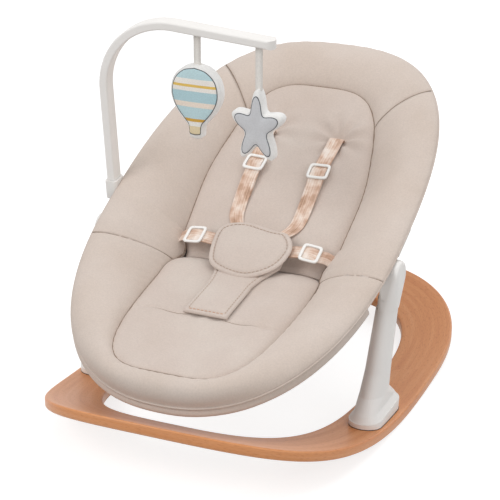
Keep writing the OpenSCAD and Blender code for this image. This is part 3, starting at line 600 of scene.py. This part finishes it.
def bolster_piece(name, start, end, columns, seed):
    """Padded part of the rim between two seams, closed, with tucked-in ends and a rounded lip.
    A seam is its angle at the pads and its angle at the rim, in degrees."""
    t = np.linspace(0, 1, columns)[:, None]
    steps = 30
    u = np.linspace(0, 1, steps)[None, :]
    u = 0.35 * (0.5 - 0.5 * np.cos(math.pi * u)) + 0.65 * u
    first, last = (np.radians(k[0] + (k[1] - k[0]) * u) for k in (start, end))
    a = first + (last - first) * t
    u = np.broadcast_to(u, a.shape)
    radius, height, width, swell = rim_top(a, u)
    # distance from the two end seams, along the rim
    near = np.minimum(np.abs(a - first), np.abs(a - last)) * radius
    height -= 5.0 * np.exp(-near / 8.0) * swell
    # puckers along the seams, and soft swells over the whole face
    middle = steps // 2
    arc = np.cumsum(np.concatenate([[0], np.abs(np.diff(a[:, middle]))]) * radius[:, middle])[:, None]
    seam_in, seam_out = width * u, width * (1 - u)
    pucker = np.cos(arc * 0.42 + 1.7 * np.sin(arc * 0.061 + seed))
    height += (0.5 * pucker * np.exp(-seam_in / 12.0)
               + 0.3 * np.cos(arc * 0.33 + seed) * np.exp(-seam_out / 14.0))
    x, s = from_middle(a, radius)
    flat = np.stack([x, s, np.zeros_like(x)], -1)
    fade = np.clip(np.minimum(seam_in, seam_out) / 25, 0, 1)
    height += (1.7 * ripple_field(flat, 85, seed) + 0.5 * ripple_field(flat, 32, seed + 5)) * fade
    top = np.stack([x, s, height], -1)

    def ring(r, h, b):
        return np.stack([*from_middle(b, r), h], -1)

    # lip: rounds down to the edge seam, then the underside goes back to the pad seam
    out, inner = a[:, -1], a[:, 0]
    _, rr, _, he = rim_ends(out)
    rs, _, hs, _ = rim_ends(inner)
    under = np.maximum(rr - RIM_TO_TUBE - TUBE_R - 6, seam_reach(out) + 8)
    lower = [ring(rr + 0.6, he - 1.6, out), ring(rr - 0.4, he - 3.0, out),
             ring(under, np.full_like(under, -3.0), out), ring(rs + 1.0, np.minimum(hs - PAD_T, -3.0), inner)]
    loop = np.concatenate([top, np.stack(lower, 1)], 1)
    rows, cols = loop.shape[:2]
    across = lengths(loop[rows // 2])
    uvs = np.stack([np.repeat(arc.ravel(), cols), np.tile(across, rows)], -1) * MM
    return make_mesh(name, to_world(loop).reshape(-1, 3), tube_faces(rows, cols), uvs)


def across_rim(seam, turn, side):
    """A seam's two angles, counted from the right-hand side of the seat or mirrored to the left."""
    return tuple(turn + side * k for k in seam)


SEAM_GAP = 0.12
foot_right, head_right = across_rim(FOOT_SEAM, 0, -1), across_rim(HEAD_SEAM, 0, 1)
foot_left, head_left = across_rim(FOOT_SEAM, -180, 1), across_rim(HEAD_SEAM, 180, -1)
for name, node, seams, columns, seed, fill in (
        ("foot_end_padding", "foot_bolster", (foot_left, foot_right), 190, 3.0, 0.6),
        ("right_wing_padding", "wing_right", (foot_right, head_right), 120, 7.0, 0.5),
        ("left_wing_padding", "wing_left", (head_left, across_rim(FOOT_SEAM, 180, 1)), 120, 11.0, 0.5),
        ("head_end_padding", "head_bolster", (head_right, head_left), 80, 15.0, 0.5)):
    start, end = (tuple(k + gap for k in seam) for seam, gap in zip(seams, (SEAM_GAP, -SEAM_GAP)))
    rim_part = bolster_piece(name, start, end, columns, seed)
    fit(rim_part, "seat", seat_cotton, node=node)
pad_foot, pad_head = RIM_C - SEAM_FRONT + 1.2, RIM_C + SEAM_BACK - 1.2
for name, node, low_end, high_end, rows, shape, seed in (
        ("back_cushion", "back_pad", CREASE_S + 0.5, pad_head, 130, back_pad_shape, BACK_SEED),
        ("seat_cushion", "seat_pad", pad_foot, CREASE_S - 0.5, 120, seat_pad_shape, SEAT_SEED)):
    cushion = pad_piece(name, low_end, high_end, rows, shape, seed)
    fit(cushion, "seat", pad_cotton, node=node)


def round_seam(name, reach_of, height_of, lift, radius, inset=0.0):
    """Seam or piping all the way round the seat, at a reach and a height over the rim plane."""
    a = np.radians(np.linspace(0, 360, 540, endpoint=False))
    x, s = from_middle(a, reach_of(a) + inset)
    path = np.stack([x, s, height_of(s) + lift], -1)
    return cord_mesh(name, to_world(path), radius * MM, closed=True)


def seam_between(name, seam):
    """Sunken seam across the rim, between two bolsters, as a thin cord that is given the painted seam shadow.
    """
    u = np.linspace(0.02, 0.98, 40)
    a = np.radians(seam[0] + (seam[1] - seam[0]) * u)
    r, h, _, swell = rim_top(a, u)
    path = np.stack([*from_middle(a, r), h - 5.6 * swell], -1)
    return cord_mesh(name, to_world(path), 0.7 * MM)


def quilt_seam():
    """Stitching line across the seat pad, level with the strap's hem, as a thin cord that is given the
    painted seam shadow.
    """
    x = np.linspace(-84, 84, 60)
    s = HEM_S - 0.02 * np.abs(x)
    path = np.stack([x, s, pad_surface(x, s, seat_pad_shape, SEAT_SEED) + 0.1], -1)
    return cord_mesh("quilt seam", to_world(path), 0.55 * MM)


# dark cords along the sunken seams: painted seam shadow, darker than the cloth
seams = joined("painted_seat_seam_shadows", [
    quilt_seam(), round_seam("pad seam", seam_reach, seam_h, -4.2, 1.1),
    seam_between("foot seam right", foot_right), seam_between("foot seam left", foot_left),
    seam_between("head seam right", head_right), seam_between("head seam left", head_left)])
fit(seams, "seat", painted_seam_shadow)
piping = round_seam("rim_piping", rim_reach, rim_h, -2.6, 1.5, inset=0.4)
fit(piping, "seat", seat_cotton)


def sling():
    """Fabric belly: from the rim's edge seam round the frame tube and under the pads."""
    columns = 168
    a = full_turn(columns)
    rs, rr, _, he = rim_ends(a)
    # the belly fills out below the rim, most beside the foot end
    full = 2.0 + 6.0 * np.clip(-np.sin(a), 0, 1) ** 0.5

    def belly(r):
        s = from_middle(a, r)[1]
        slope = np.maximum((CREASE_S - s) * FOOT_SLOPE, (s - CREASE_S) * BACK_SLOPE)
        return -CREASE_DEPTH - PAD_T - 10 + np.maximum(0, slope - 1)

    hs = np.minimum(belly(rs), TUBE_LOW + 0.5)
    middle = np.full_like(rs, 1.0)
    keys = [(middle, belly(middle * 0)), (rs * 0.35, belly(rs * 0.35)), (rs * 0.7, belly(rs * 0.7)), (rs, hs),
            (np.maximum(rr - RIM_TO_TUBE - TUBE_R - 7, rs + 3), np.minimum(hs, TUBE_LOW)),
            (np.maximum(rr - 13, rs + 6), TUBE_LOW + he * 0.6), (np.maximum(rr - 5 + full, rs + 9), he - 14),
            (np.maximum(rr - 0.6, rs + 10), he - 3.2)]
    line = np.stack([np.stack([*from_middle(a, r), h], -1) for r, h in keys], 0)
    fine = smooth_path(line, 5)
    sag = ripple_field(fine, 70, 31.0)
    inner = np.linspace(0, 1, len(fine))[:, None]
    fine[..., 2] += 1.6 * sag * np.clip((0.96 - inner) * 6, 0, 1)
    # beside the hinges the cloth is tucked in behind the seat arms
    beside = np.clip((fine[..., 1] + 74) / 16, 0, 1) * np.clip((108 - fine[..., 1]) / 16, 0, 1)
    tucked = np.sign(fine[..., 0]) * np.minimum(np.abs(fine[..., 0]), ARM_IN - 4)
    fine[..., 0] += (tucked - fine[..., 0]) * beside
    rows = len(fine)
    points = to_world(fine).reshape(-1, 3)
    faces = grid_faces(rows, columns, close_cols=True, flip=True) + [list(range(columns))]
    uvs = fine.reshape(-1, 3)[:, :2] * MM
    piece = make_mesh("seat_sling", points, faces, uvs)
    thick = piece.modifiers.new("cloth thickness", "SOLIDIFY")
    thick.thickness = 1.2 * MM
    thick.offset = -1
    mesh = bpy.data.meshes.new_from_object(piece.evaluated_get(bpy.context.evaluated_depsgraph_get()))
    piece.modifiers.clear()
    piece.data = mesh
    mesh.polygons.foreach_set("use_smooth", [True] * len(mesh.polygons))
    return piece


fit(sling(), "seat", seat_cotton, node="under_sling")

# ---------------- harness
WEB_W, WEB_T = 20.0, 1.6


def laid_on(line, shape, seed, lift, side, half_width):
    """The line, raised where a pad's surface under a strap's width would come through it."""
    spread = np.asarray(side, float)[:2] * half_width
    tops = [pad_surface(*(line[:, :2] + k * spread).T, shape, seed) for k in (-0.8, 0, 0.8)]
    raised = line.copy()
    raised[:, 2] = np.maximum(line[:, 2], np.max(tops, 0) + lift)
    return raised


def webbing(name, path, side, width=WEB_W, mirror=False, lift=1.3, free=0):
    """Flat woven strap with soft edges along a path of seat coordinates, laid on the back pad.
    The first points, as many as free gives, are where it comes through the pad."""
    per_leg = 8
    line = smooth_path(path, per_leg)
    n = len(line)
    skip = free * per_leg
    hand = [-1, 1, 1] if mirror else [1, 1, 1]
    line[skip:] = laid_on(line[skip:] * hand, back_pad_shape, BACK_SEED, lift, side, width / 2) * hand
    ahead, behind = line[np.minimum(np.arange(n) + 1, n - 1)], line[np.maximum(np.arange(n) - 1, 0)]
    across = np.cross(ahead - behind, side)
    across /= np.linalg.norm(across, axis=1)[:, None]
    section = [(-0.5, 0.2), (-0.46, 0.5), (-0.25, 0.5), (0.0, 0.5), (0.25, 0.5), (0.46, 0.5), (0.5, 0.2),
               (0.5, -0.2), (0.46, -0.5), (0.0, -0.5), (-0.46, -0.5), (-0.5, -0.2)]
    ring = np.stack([line + np.array(side) * width * p + across * WEB_T * q for p, q in section], 1)
    if mirror:
        ring = ring * [-1, 1, 1]
    m = len(section)
    faces = grid_faces(n, m, close_cols=True, flip=mirror)
    faces += [list(range(m)), [(n - 1) * m + j for j in range(m - 1, -1, -1)]]
    dist = lengths(line)
    uvs = np.stack([np.repeat(dist, m), np.tile([p * width for p, _ in section], n)], -1) * MM
    return make_mesh(name, to_world(ring).reshape(-1, 3), faces, uvs)


ADJ_S, WAIST_S = 149.0, 18.0
SLOT_H = float(seam_h(214))
shoulder_path = [(49, 214, SLOT_H - 11), (49, 213.5, SLOT_H - 4), (49, 209, -14.5), (48, 192, -15.8),
                 (46, ADJ_S + 20, -17.6), (45.5, ADJ_S + 11, -18.9), (45, ADJ_S + 5, -17.6),
                 (45, ADJ_S, -16.6), (45, ADJ_S - 5, -17.9), (44.5, ADJ_S - 11, -19.8), (45, 118, -24),
                 (44.5, 88, -32), (42, 66, -37.5), (33, 50, -39), (23, 41, -38)]
tail_path = [(45.2, ADJ_S + 4, -18.9), (45.4, ADJ_S - 6, -21.0), (45.2, ADJ_S - 14, -23.0),
             (44.8, 116, -27.5), (44.6, 98, -31.5)]
waist_path = [(106, WAIST_S + 4, -46), (101, WAIST_S + 4, -41.5), (96.5, WAIST_S + 2, -37.5),
              (91, WAIST_S, -35), (85, WAIST_S, -32.5), (80, WAIST_S, -30.8), (75, WAIST_S, -31),
              (69, WAIST_S, -31.9), (56, WAIST_S, -33.5), (42, WAIST_S, -37), (28.5, WAIST_S, -38)]
for side_name, flip in (("right", False), ("left", True)):
    strap = webbing("strap", shoulder_path, (1, 0, 0), mirror=flip, free=2)
    tail = webbing("tail", tail_path, (1, 0, 0), width=WEB_W - 0.4, mirror=flip, lift=0.9)
    strap = joined("shoulder_webbing_" + side_name, [strap, tail])
    fit(strap, "seat", webbing_satin, node="shoulder_strap_" + side_name)
    lap = webbing("waist_webbing_" + side_name, waist_path, (0, 1, 0), mirror=flip)
    fit(lap, "seat", webbing_satin, node="waist_strap_" + side_name)


def ladder_lock(name, centre, turn, mirror=False):
    """Moulded ladder-lock: a frame with rounded corners and edges, and a bar across its middle. Its turns
    are in degrees about the seat's axes."""
    around, across, bar_rings = 64, 12, 9
    t = full_turn(around)

    def loop(half_w, half_l, power):
        r = reach(t, half_w, half_l, power)
        return np.stack([r * np.cos(t), r * np.sin(t)], -1)

    outer, inner = loop(14.5, 13.2, 6), loop(10.8, 9.2, 9)
    phase = full_turn(across)
    k = 0.5 + 0.5 * np.sign(np.cos(phase)) * np.abs(np.cos(phase)) ** 0.6
    z = 1.45 * np.sign(np.sin(phase)) * np.abs(np.sin(phase)) ** 0.6
    ring = inner[:, None, :] * (1 - k)[None, :, None] + outer[:, None, :] * k[None, :, None]
    points = np.concatenate([ring, np.broadcast_to(z[None, :, None], (around, across, 1))], 2).reshape(-1, 3)
    faces = grid_faces(around, across, close_rows=True, close_cols=True)
    bar = np.array([[(u, 2.2 * math.cos(p), -2.0 + 1.0 * math.sin(p)) for p in phase]
                    for u in np.linspace(-11.2, 11.2, bar_rings)])
    base = len(points)
    points = np.vstack([points, bar.reshape(-1, 3)])
    faces += grid_faces(bar_rings, across, close_cols=True, start=base)
    faces += [[base + end * across + j for j in range(across)] for end in (0, bar_rings - 1)]
    rx, ry, rz = (math.radians(angle) for angle in turn)
    for angle, i, j in ((rz, 0, 1), (ry, 2, 0), (rx, 1, 2)):
        c, n = math.cos(angle), math.sin(angle)
        a, b = points[:, i].copy(), points[:, j].copy()
        points[:, i], points[:, j] = a * c - b * n, a * n + b * c
    points = points + np.asarray(centre, float)
    if mirror:
        points = points * [-1, 1, 1]
        faces = [f[::-1] for f in faces]
    return make_mesh(name, to_world(points), faces)


for name, node, centre, turn in (
        ("shoulder_ladder_locks", "shoulder_adjusters", (45, ADJ_S, -17), (2.3, 0, 3)),
        ("waist_ladder_locks", "waist_adjusters", (80, WAIST_S, -31), (0, 8, 90))):
    pair = [ladder_lock("lock", centre, turn), ladder_lock("lock", centre, turn, mirror=True)]
    fit(joined(name, pair), "seat", clip_plastic, node=node)


def stitches(name, path):
    """Row of short raised stitches along a path of seat coordinates. The 0.84 mm thread is thicker than the
    real one, which is too fine to show."""
    dash, space, radius = 3.2, 2.0, 0.42
    line = np.asarray(path, float)
    dist = lengths(line)
    pieces, at = [], 1.0
    while at + dash < dist[-1]:
        span = np.linspace(at, at + dash, 4)
        seg = np.stack([np.interp(span, dist, line[:, k]) for k in range(3)], -1)
        seg[:, 2] += [-0.2, 0.12, 0.12, -0.2]
        pieces.append(cord_mesh("stitch", to_world(seg), radius * MM, sides=5))
        at += dash + space
    return joined(name, pieces)


def domed_pad(name, outline, centre, thick, rise, groove_at, seed):
    """Stitched fabric pad: domed inside a stitched border, with a soft rounded edge and a flat back."""
    n = len(outline)
    share = np.linspace(0.04, 1, 26)[:, None] ** 0.8
    inset = np.linalg.norm(outline, axis=1) * (1 - share)
    top = np.zeros((*inset.shape, 3))
    top[..., :2] = outline * share[..., None]
    top[..., 2] = crown(np.maximum(inset - groove_at, 0), rise, 9.0) + crown(inset, thick, 1.6)
    top[..., 2] -= 1.3 * hump(inset - groove_at, 1.8)
    top[..., 2] += 0.6 * ripple_field(top, 24, seed)
    back = np.zeros((3, n, 3))
    for i, (f, z) in enumerate(((1.0, -0.6), (0.97, -thick * 0.45), (0.5, -thick * 0.5))):
        back[i, :, :2] = outline * f
        back[i, :, 2] = z
    rows = np.concatenate([top, back], 0)
    points = rows.reshape(-1, 3)
    return make_mesh(name, to_world(points + centre), tube_faces(len(rows), n), points[:, :2] * MM)


def closed_curve(keys, per_leg=14):
    """Smooth closed outline through a few points."""
    keys = list(keys)
    n = len(keys)
    ring = smooth_path([(x, y, 0) for x, y in keys[-2:] + keys + keys[:2]], per_leg)
    return ring[2 * per_leg : (2 + n) * per_leg, :2]


def shield_outline(inset=0.0):
    """Lopsided heart: a wide flat left lobe, a notch right of the middle, and a blunt foot."""
    line = closed_curve([(52, 8), (39, 33), (20, 37), (-26, 43), (-54, 28), (-52, -14), (-37, -39),
                         (8, -49), (42, -27)])
    return line * (1 - inset / np.linalg.norm(line, axis=1))[:, None]


shield_at = np.array((4, 6, -28.0))
shield = domed_pad("buckle_cover", shield_outline(), shield_at, 2.6, 3.6, 6.5, 41.0)
fit(shield, "seat", pad_cotton, node="buckle_shield")
border = shield_outline(6.3)
shield_stitch = stitches("cover_stitching", [shield_at + (x, y, 2.2) for x, y in [*border, border[0]]])
fit(shield_stitch, "seat", stitch_thread)


def crotch_strap():
    """Padded strap from under the cover to a folded hem on the seat pad."""
    path = smooth_path([(-0.5, HEM_S, -8.0), (0, -120, -9.0), (0, -96, -16.5), (0, -66, -26.0),
                        (0, -36, -33.6), (0, -14, -36.6), (0, -0.5, -38)])
    path = laid_on(path, seat_pad_shape, SEAT_SEED, 2.2, (1, 0, 0), 26)
    n, cols = len(path), 25
    dist = lengths(path)
    groove = 5.0
    t = np.linspace(-1, 1, cols)
    # it flares under the cover, more to the right
    width = 29.0 + np.where(t > 0, 19.0, 8.0)[None, :] * np.clip((path[:, 1:2] + 58) / 46, 0, 1) ** 1.5
    along = np.gradient(path, axis=0)
    normal = np.cross(along, (1, 0, 0))
    normal /= np.linalg.norm(normal, axis=1)[:, None]
    normal *= np.sign(normal[:, 2])[:, None]
    edge_gap = (1 - np.abs(t))[None, :] * width
    end_gap = dist[:, None] * np.ones((1, cols))
    inset = np.minimum(edge_gap, end_gap)
    height = crown(inset, 2.6, 1.2) + crown(np.maximum(inset - groove, 0), 1.6, 6.0)
    height -= 0.9 * hump(inset - groove, 1.5)
    spread = (t[None, :] * width)[..., None] * np.array([1.0, 0, 0])
    top = path[:, None, :] + spread + normal[:, None, :] * height[..., None]
    low = path[:, None, :] + spread * 0.995 - normal[:, None, :] * 1.8
    points = np.vstack([top.reshape(-1, 3), low.reshape(-1, 3)])
    faces = grid_faces(n, cols, flip=True) + grid_faces(n, cols, start=n * cols)
    faces += walls(n, cols, rim_first=True)
    uvs = np.vstack([np.stack([np.repeat(dist, cols), (t[None, :] * width).ravel()], -1)] * 2) * MM
    piece = make_mesh("crotch_webbing_cover", to_world(points), faces, uvs)
    rows = []
    for sign in (-1, 1):
        keep = dist > groove
        side = width[keep, -1 if sign > 0 else 0] - groove
        line = path[keep] + np.array([1.0, 0, 0]) * sign * side[:, None] + normal[keep] * 2.0
        rows.append(stitches("side stitches", line))
    across = np.stack([np.linspace(-24, 24, 20), np.full(20, path[0, 1] + groove), np.full(20, 0.0)], -1)
    across[:, 2] = np.interp(across[:, 1], path[:, 1], path[:, 2]) + 2.2
    return piece, joined("crotch_stitching", rows), stitches("hem_stitching", across)


crotch, crotch_stitch, hem_stitch = crotch_strap()
fit(crotch, "seat", pad_cotton, node="crotch_strap")
fit(crotch_stitch, "seat", stitch_thread)
fit(hem_stitch, "seat", peach_thread)

# ---------------- toys on the bar
PLUSH_T = 0.0205
# How far out the face of a plush toy stands, as a share of its thickness, from its middle to its edge
DOME_AT, DOME = (0.1, 0.3, 0.55, 0.75, 0.88, 0.96, 1.0), (0.52, 0.515, 0.5, 0.475, 0.44, 0.38, 0.3)


def plush_face(x, z, share, seed):
    """Depth of a plush toy's face in metres, at a place and its share of the way out to the edge."""
    lumps = 0.0004 * ripple_field(np.stack([x, np.zeros_like(x), z], -1) * 1000, 18, seed)
    return PLUSH_T * np.interp(share, DOME_AT, DOME) + lumps


def plush_body(name, outline, middle, seed):
    """Stuffed shape with a flat-domed front and back and a side gusset. Outline in metres, in X and Z."""
    n = len(outline)
    rows = []
    for side in (-1, 1):
        for share in DOME_AT[::-side]:
            x, z = outline[:, 0] * share, outline[:, 1] * share
            depth = side * plush_face(x, z, share, seed)
            rows.append(np.stack([middle[0] + x, middle[1] + depth, middle[2] + z], -1))
    points = np.vstack(rows)
    return make_mesh(name, points, tube_faces(len(rows), n), points[:, [0, 2]])


def star_shape(size):
    """Soft five-pointed star, taller than it is wide."""
    t = full_turn(150)
    r = size * (0.71 + 0.25 * np.cos(5 * (t - math.pi / 2)) + 0.04 * np.cos(10 * (t - math.pi / 2)))
    return np.stack([0.87 * r * np.cos(t), 1.2 * r * np.sin(t)], -1)


def balloon_shape(size):
    """Round top that narrows in a smooth curve to a small rounded foot."""
    key = [(0, 1.0), (0.5, 0.87), (0.87, 0.5), (1.0, 0.0), (0.94, -0.4), (0.74, -0.8), (0.47, -1.14),
           (0.29, -1.36), (0.24, -1.6), (0.22, -1.78), (0, -1.83)]
    right = smooth_path([(x * size, z * size, 0) for x, z in key], 7)[:, :2]
    return np.vstack([right, right[1:-1][::-1] * [-1, 1]])[::-1]


def sewn_panel(name, outline, middle, share, seed):
    """Printed cloth panel sewn on the front of a plush toy, which it follows up to 0.8 mm proud.
    Share is the panel's size against the toy's."""
    n = len(outline)
    rows = []
    for f, proud in zip((1.0, 0.985, 0.95, 0.8, 0.6, 0.4, 0.2, 0.1), (0.0, 0.0005, 0.0007, *[0.0008] * 5)):
        x, z = outline[:, 0] * f, outline[:, 1] * f
        depth = plush_face(x, z, f * share, seed) + proud
        rows.append(np.stack([middle[0] + x, middle[1] - depth, middle[2] + z], -1))
    points = np.vstack(rows)
    faces = grid_faces(len(rows), n, close_cols=True, flip=True)
    # the face closes on a small flat cap, and the back lies inside the toy
    faces += [[len(points) - 1 - j for j in range(n)], list(range(n))]
    return make_mesh(name, points, faces, points[:, [0, 2]] - np.array([middle[0], middle[2]]))


def sewn_edge(name, outline, middle, share, seed):
    """Satin stitch round a sewn panel."""
    x, z = outline.T
    depth = plush_face(x, z, share, seed) + 0.0003
    path = np.stack([middle[0] + x, middle[1] - depth, middle[2] + z], -1)
    return cord_mesh(name, path, 0.00055, closed=True)


def soft_toy(name, shape, size, tall, share, seed, print_cotton):
    """Plush toy with a sewn panel and its outline stitch, hung by the top of its shape, which reaches tall
    times its size above its middle."""
    low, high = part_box(name + "_toy")
    middle = ((low[0] + high[0]) / 2, (low[1] + high[1]) / 2, high[2] - tall * size)
    plush = plush_body(name + "_plush", shape(size), middle, seed)
    fit(plush, name, plush_white, node=name + "_toy")
    edge = shape(share * size)
    fit(sewn_panel(name + "_panel", edge, middle, share, seed), name, print_cotton)
    fit(sewn_edge(name + "_outline", edge, middle, share, seed), name, outline_thread)


soft_toy("star", star_shape, 0.041, 1.2, 0.84, 51.0, star_grey)
soft_toy("balloon", balloon_shape, 0.034, 1.0, 0.9, 57.0, balloon_print)


def toy_loop(toy):
    """Folded ribbon from the pin down to the toy, with a turned loop round the pin."""
    low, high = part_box(toy + "_ribbon")
    x0, x1 = low[0] + 0.0003, high[0] - 0.0003
    y = (low[1] + high[1]) / 2
    top = high[2] - 0.0024
    front = [(0.0007, low[2] - 0.002), (0.0008, low[2] + 0.01), (0.0009, top - 0.006), (0.0021, top - 0.001),
             (0.0011, top + 0.0016)]
    path = [(y + out, z, 0) for out, z in front] + [(y - out, z, 0) for out, z in front[::-1]]
    line = smooth_path(path, 6)[:, :2]
    tang = np.gradient(line, axis=0)
    normal = np.stack([-tang[:, 1], tang[:, 0]], -1)
    normal /= np.linalg.norm(normal, axis=1)[:, None]
    inner, outer = line - normal * 0.00035, line + normal * 0.00035
    points = [(x, *p) for k in range(len(line)) for p in (inner[k], outer[k]) for x in (x0, x1)]
    faces = []
    for k in range(len(line) - 1):
        a = 4 * k
        for p, q in ((0, 1), (1, 3), (3, 2), (2, 0)):
            faces.append([a + p, a + q, a + 4 + q, a + 4 + p])
    end = 4 * (len(line) - 1)
    faces += [[0, 2, 3, 1], [end, end + 1, end + 3, end + 2]]
    dist = np.repeat(lengths(line), 4)
    piece = make_mesh(toy + "_hanger", points, faces, np.stack([dist, np.array(points)[:, 0]], -1))
    fit(piece, toy, ribbon_white, node=toy + "_ribbon")


toy_loop("balloon")
toy_loop("star")

# ---------------- bentwood rocker ring
RING_W, RING_L, PLY = 434.0, 640.0, 13.0
STRIP_SIDE, STRIP_HEAD, STRIP_FOOT = 63.0, 82.0, 60.0
# Where along the ring its two outlines are at their widest
OUTER_Y, INNER_Y = 90.0, 62.0
ROCK_FOOT, ROCK_HEAD, ROCK_Y, LIFT = 720.0, 1250.0, -4.0, 0.6


def ring_curve(t, half_w, back, front, n_back, n_front, y0):
    """Superellipse with a half of its own behind and before y0, in reach and in power."""
    b = np.where(np.sin(t) < 0, front, back)
    n = np.where(np.sin(t) < 0, n_front, n_back)
    x = half_w * np.sign(np.cos(t)) * np.abs(np.cos(t)) ** (2 / n)
    y = y0 + b * np.sign(np.sin(t)) * np.abs(np.sin(t)) ** (2 / n)
    return np.stack([x, y], -1)


def curve_z(y, lift):
    """Height of the rocking curve, lift above its underside: one radius towards the foot, one to the head."""
    r = np.where(y < ROCK_Y, ROCK_FOOT, ROCK_HEAD)
    return r - np.sqrt((r - lift) ** 2 - (y - ROCK_Y) ** 2)


def evenly(curve, n):
    """The closed curve again, in n even steps."""
    closed = np.vstack([curve, curve[:1]])
    dist = lengths(closed)
    at = np.linspace(0, dist[-1], n, endpoint=False)
    return np.stack([np.interp(at, dist, closed[:, k]) for k in range(2)], -1)


def bentwood_ring():
    """Bent plywood ring with softened edges. Its long grain follows the strip."""
    n = 300
    t = full_turn(4000)
    half_w, half_l = RING_W / 2, RING_L / 2
    outer = ring_curve(t, half_w, half_l - OUTER_Y, half_l + OUTER_Y, 2.6, 3.6, OUTER_Y)
    inner = ring_curve(t, half_w - STRIP_SIDE, half_l - STRIP_HEAD - INNER_Y, half_l - STRIP_FOOT + INNER_Y,
                       3, 3.3, INNER_Y)
    outer, inner = evenly(outer, n), evenly(inner, n)
    r, gap = 2.6, STRIP_SIDE
    bow = np.linspace(0, math.pi / 2, 5)
    corner = [((r - r * math.cos(b)) / gap, PLY + LIFT - r + r * math.sin(b)) for b in bow]
    top = [(k, PLY + LIFT) for k in np.linspace(0.1, 0.9, 9)]
    far = [(1 - k, z) for k, z in corner[::-1]]
    low_far = [(1 - (r - r * math.cos(b)) / gap, LIFT + r - r * math.sin(b)) for b in bow]
    low = [(k, LIFT) for k in np.linspace(0.9, 0.1, 9)]
    low_near = [((r - r * math.cos(b)) / gap, LIFT + r - r * math.sin(b)) for b in bow[::-1]]
    section = corner + top + far + low_far + low + low_near
    cols = len(section)
    points = np.zeros((n, cols, 3))
    for j, (k, lift) in enumerate(section):
        xy = outer * (1 - k) + inner * k
        points[:, j, :2] = xy
        points[:, j, 2] = curve_z(xy[:, 1], lift)
    dist = lengths(np.vstack([(outer + inner) / 2, ((outer + inner) / 2)[:1]]))[:-1]
    uv_across = np.array([k * gap for k, _ in section])
    faces = grid_faces(n, cols, close_rows=True, close_cols=True)
    piece = make_mesh("bentwood_ring", points.reshape(-1, 3) * MM, faces)
    mesh = piece.data
    layer = mesh.uv_layers.new(name="cloth")
    nc, far_at = len(corner), len(corner) + len(top)
    far_edge = range(far_at, far_at + len(far) + len(low_far) - 1)
    edge_cols = {*range(nc - 1), *far_edge, *range(cols - len(low_near), cols)}
    for index, poly in enumerate(mesh.polygons):
        row, column = divmod(index, cols)
        # on the softened edges the grain goes by height, and on the faces by the way across
        on_edge = column in edge_cols
        for loop in poly.loop_indices:
            i, j = divmod(mesh.loops[loop].vertex_index, cols)
            # the last row of faces ends on the first points, one step further round
            along = dist[-1] + 5 if row == n - 1 and i == 0 else dist[i]
            layer.data[loop].uv = (along * MM, (section[j][1] if on_edge else uv_across[j]) * MM)
    return piece


fit(bentwood_ring(), "stand", beech_face, node="base_ring")

# ---------------- CAD pieces that keep their shape
kept = {
    white_plastic: ("leg_left", "leg_right", "hub_left", "hub_right", "seat_arm_left", "seat_arm_right",
                    "bar_clip", "toy_bar"),
    clip_plastic: ("buckle_body", "buckle_button", "buckle_tongues"),
    bright_steel: ("leg_screws", "hinge_bolts", "rear_tube", "front_tube", "tube_screws", "buckle_spring",
                   "toy_pins"),
    grip_rubber: ("grip_strips", "foot_gaskets"),
    washer_nylon: ("friction_washers",)}
for material, nodes in kept.items():
    for node in nodes:
        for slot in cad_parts[node].material_slots:
            slot.material = material
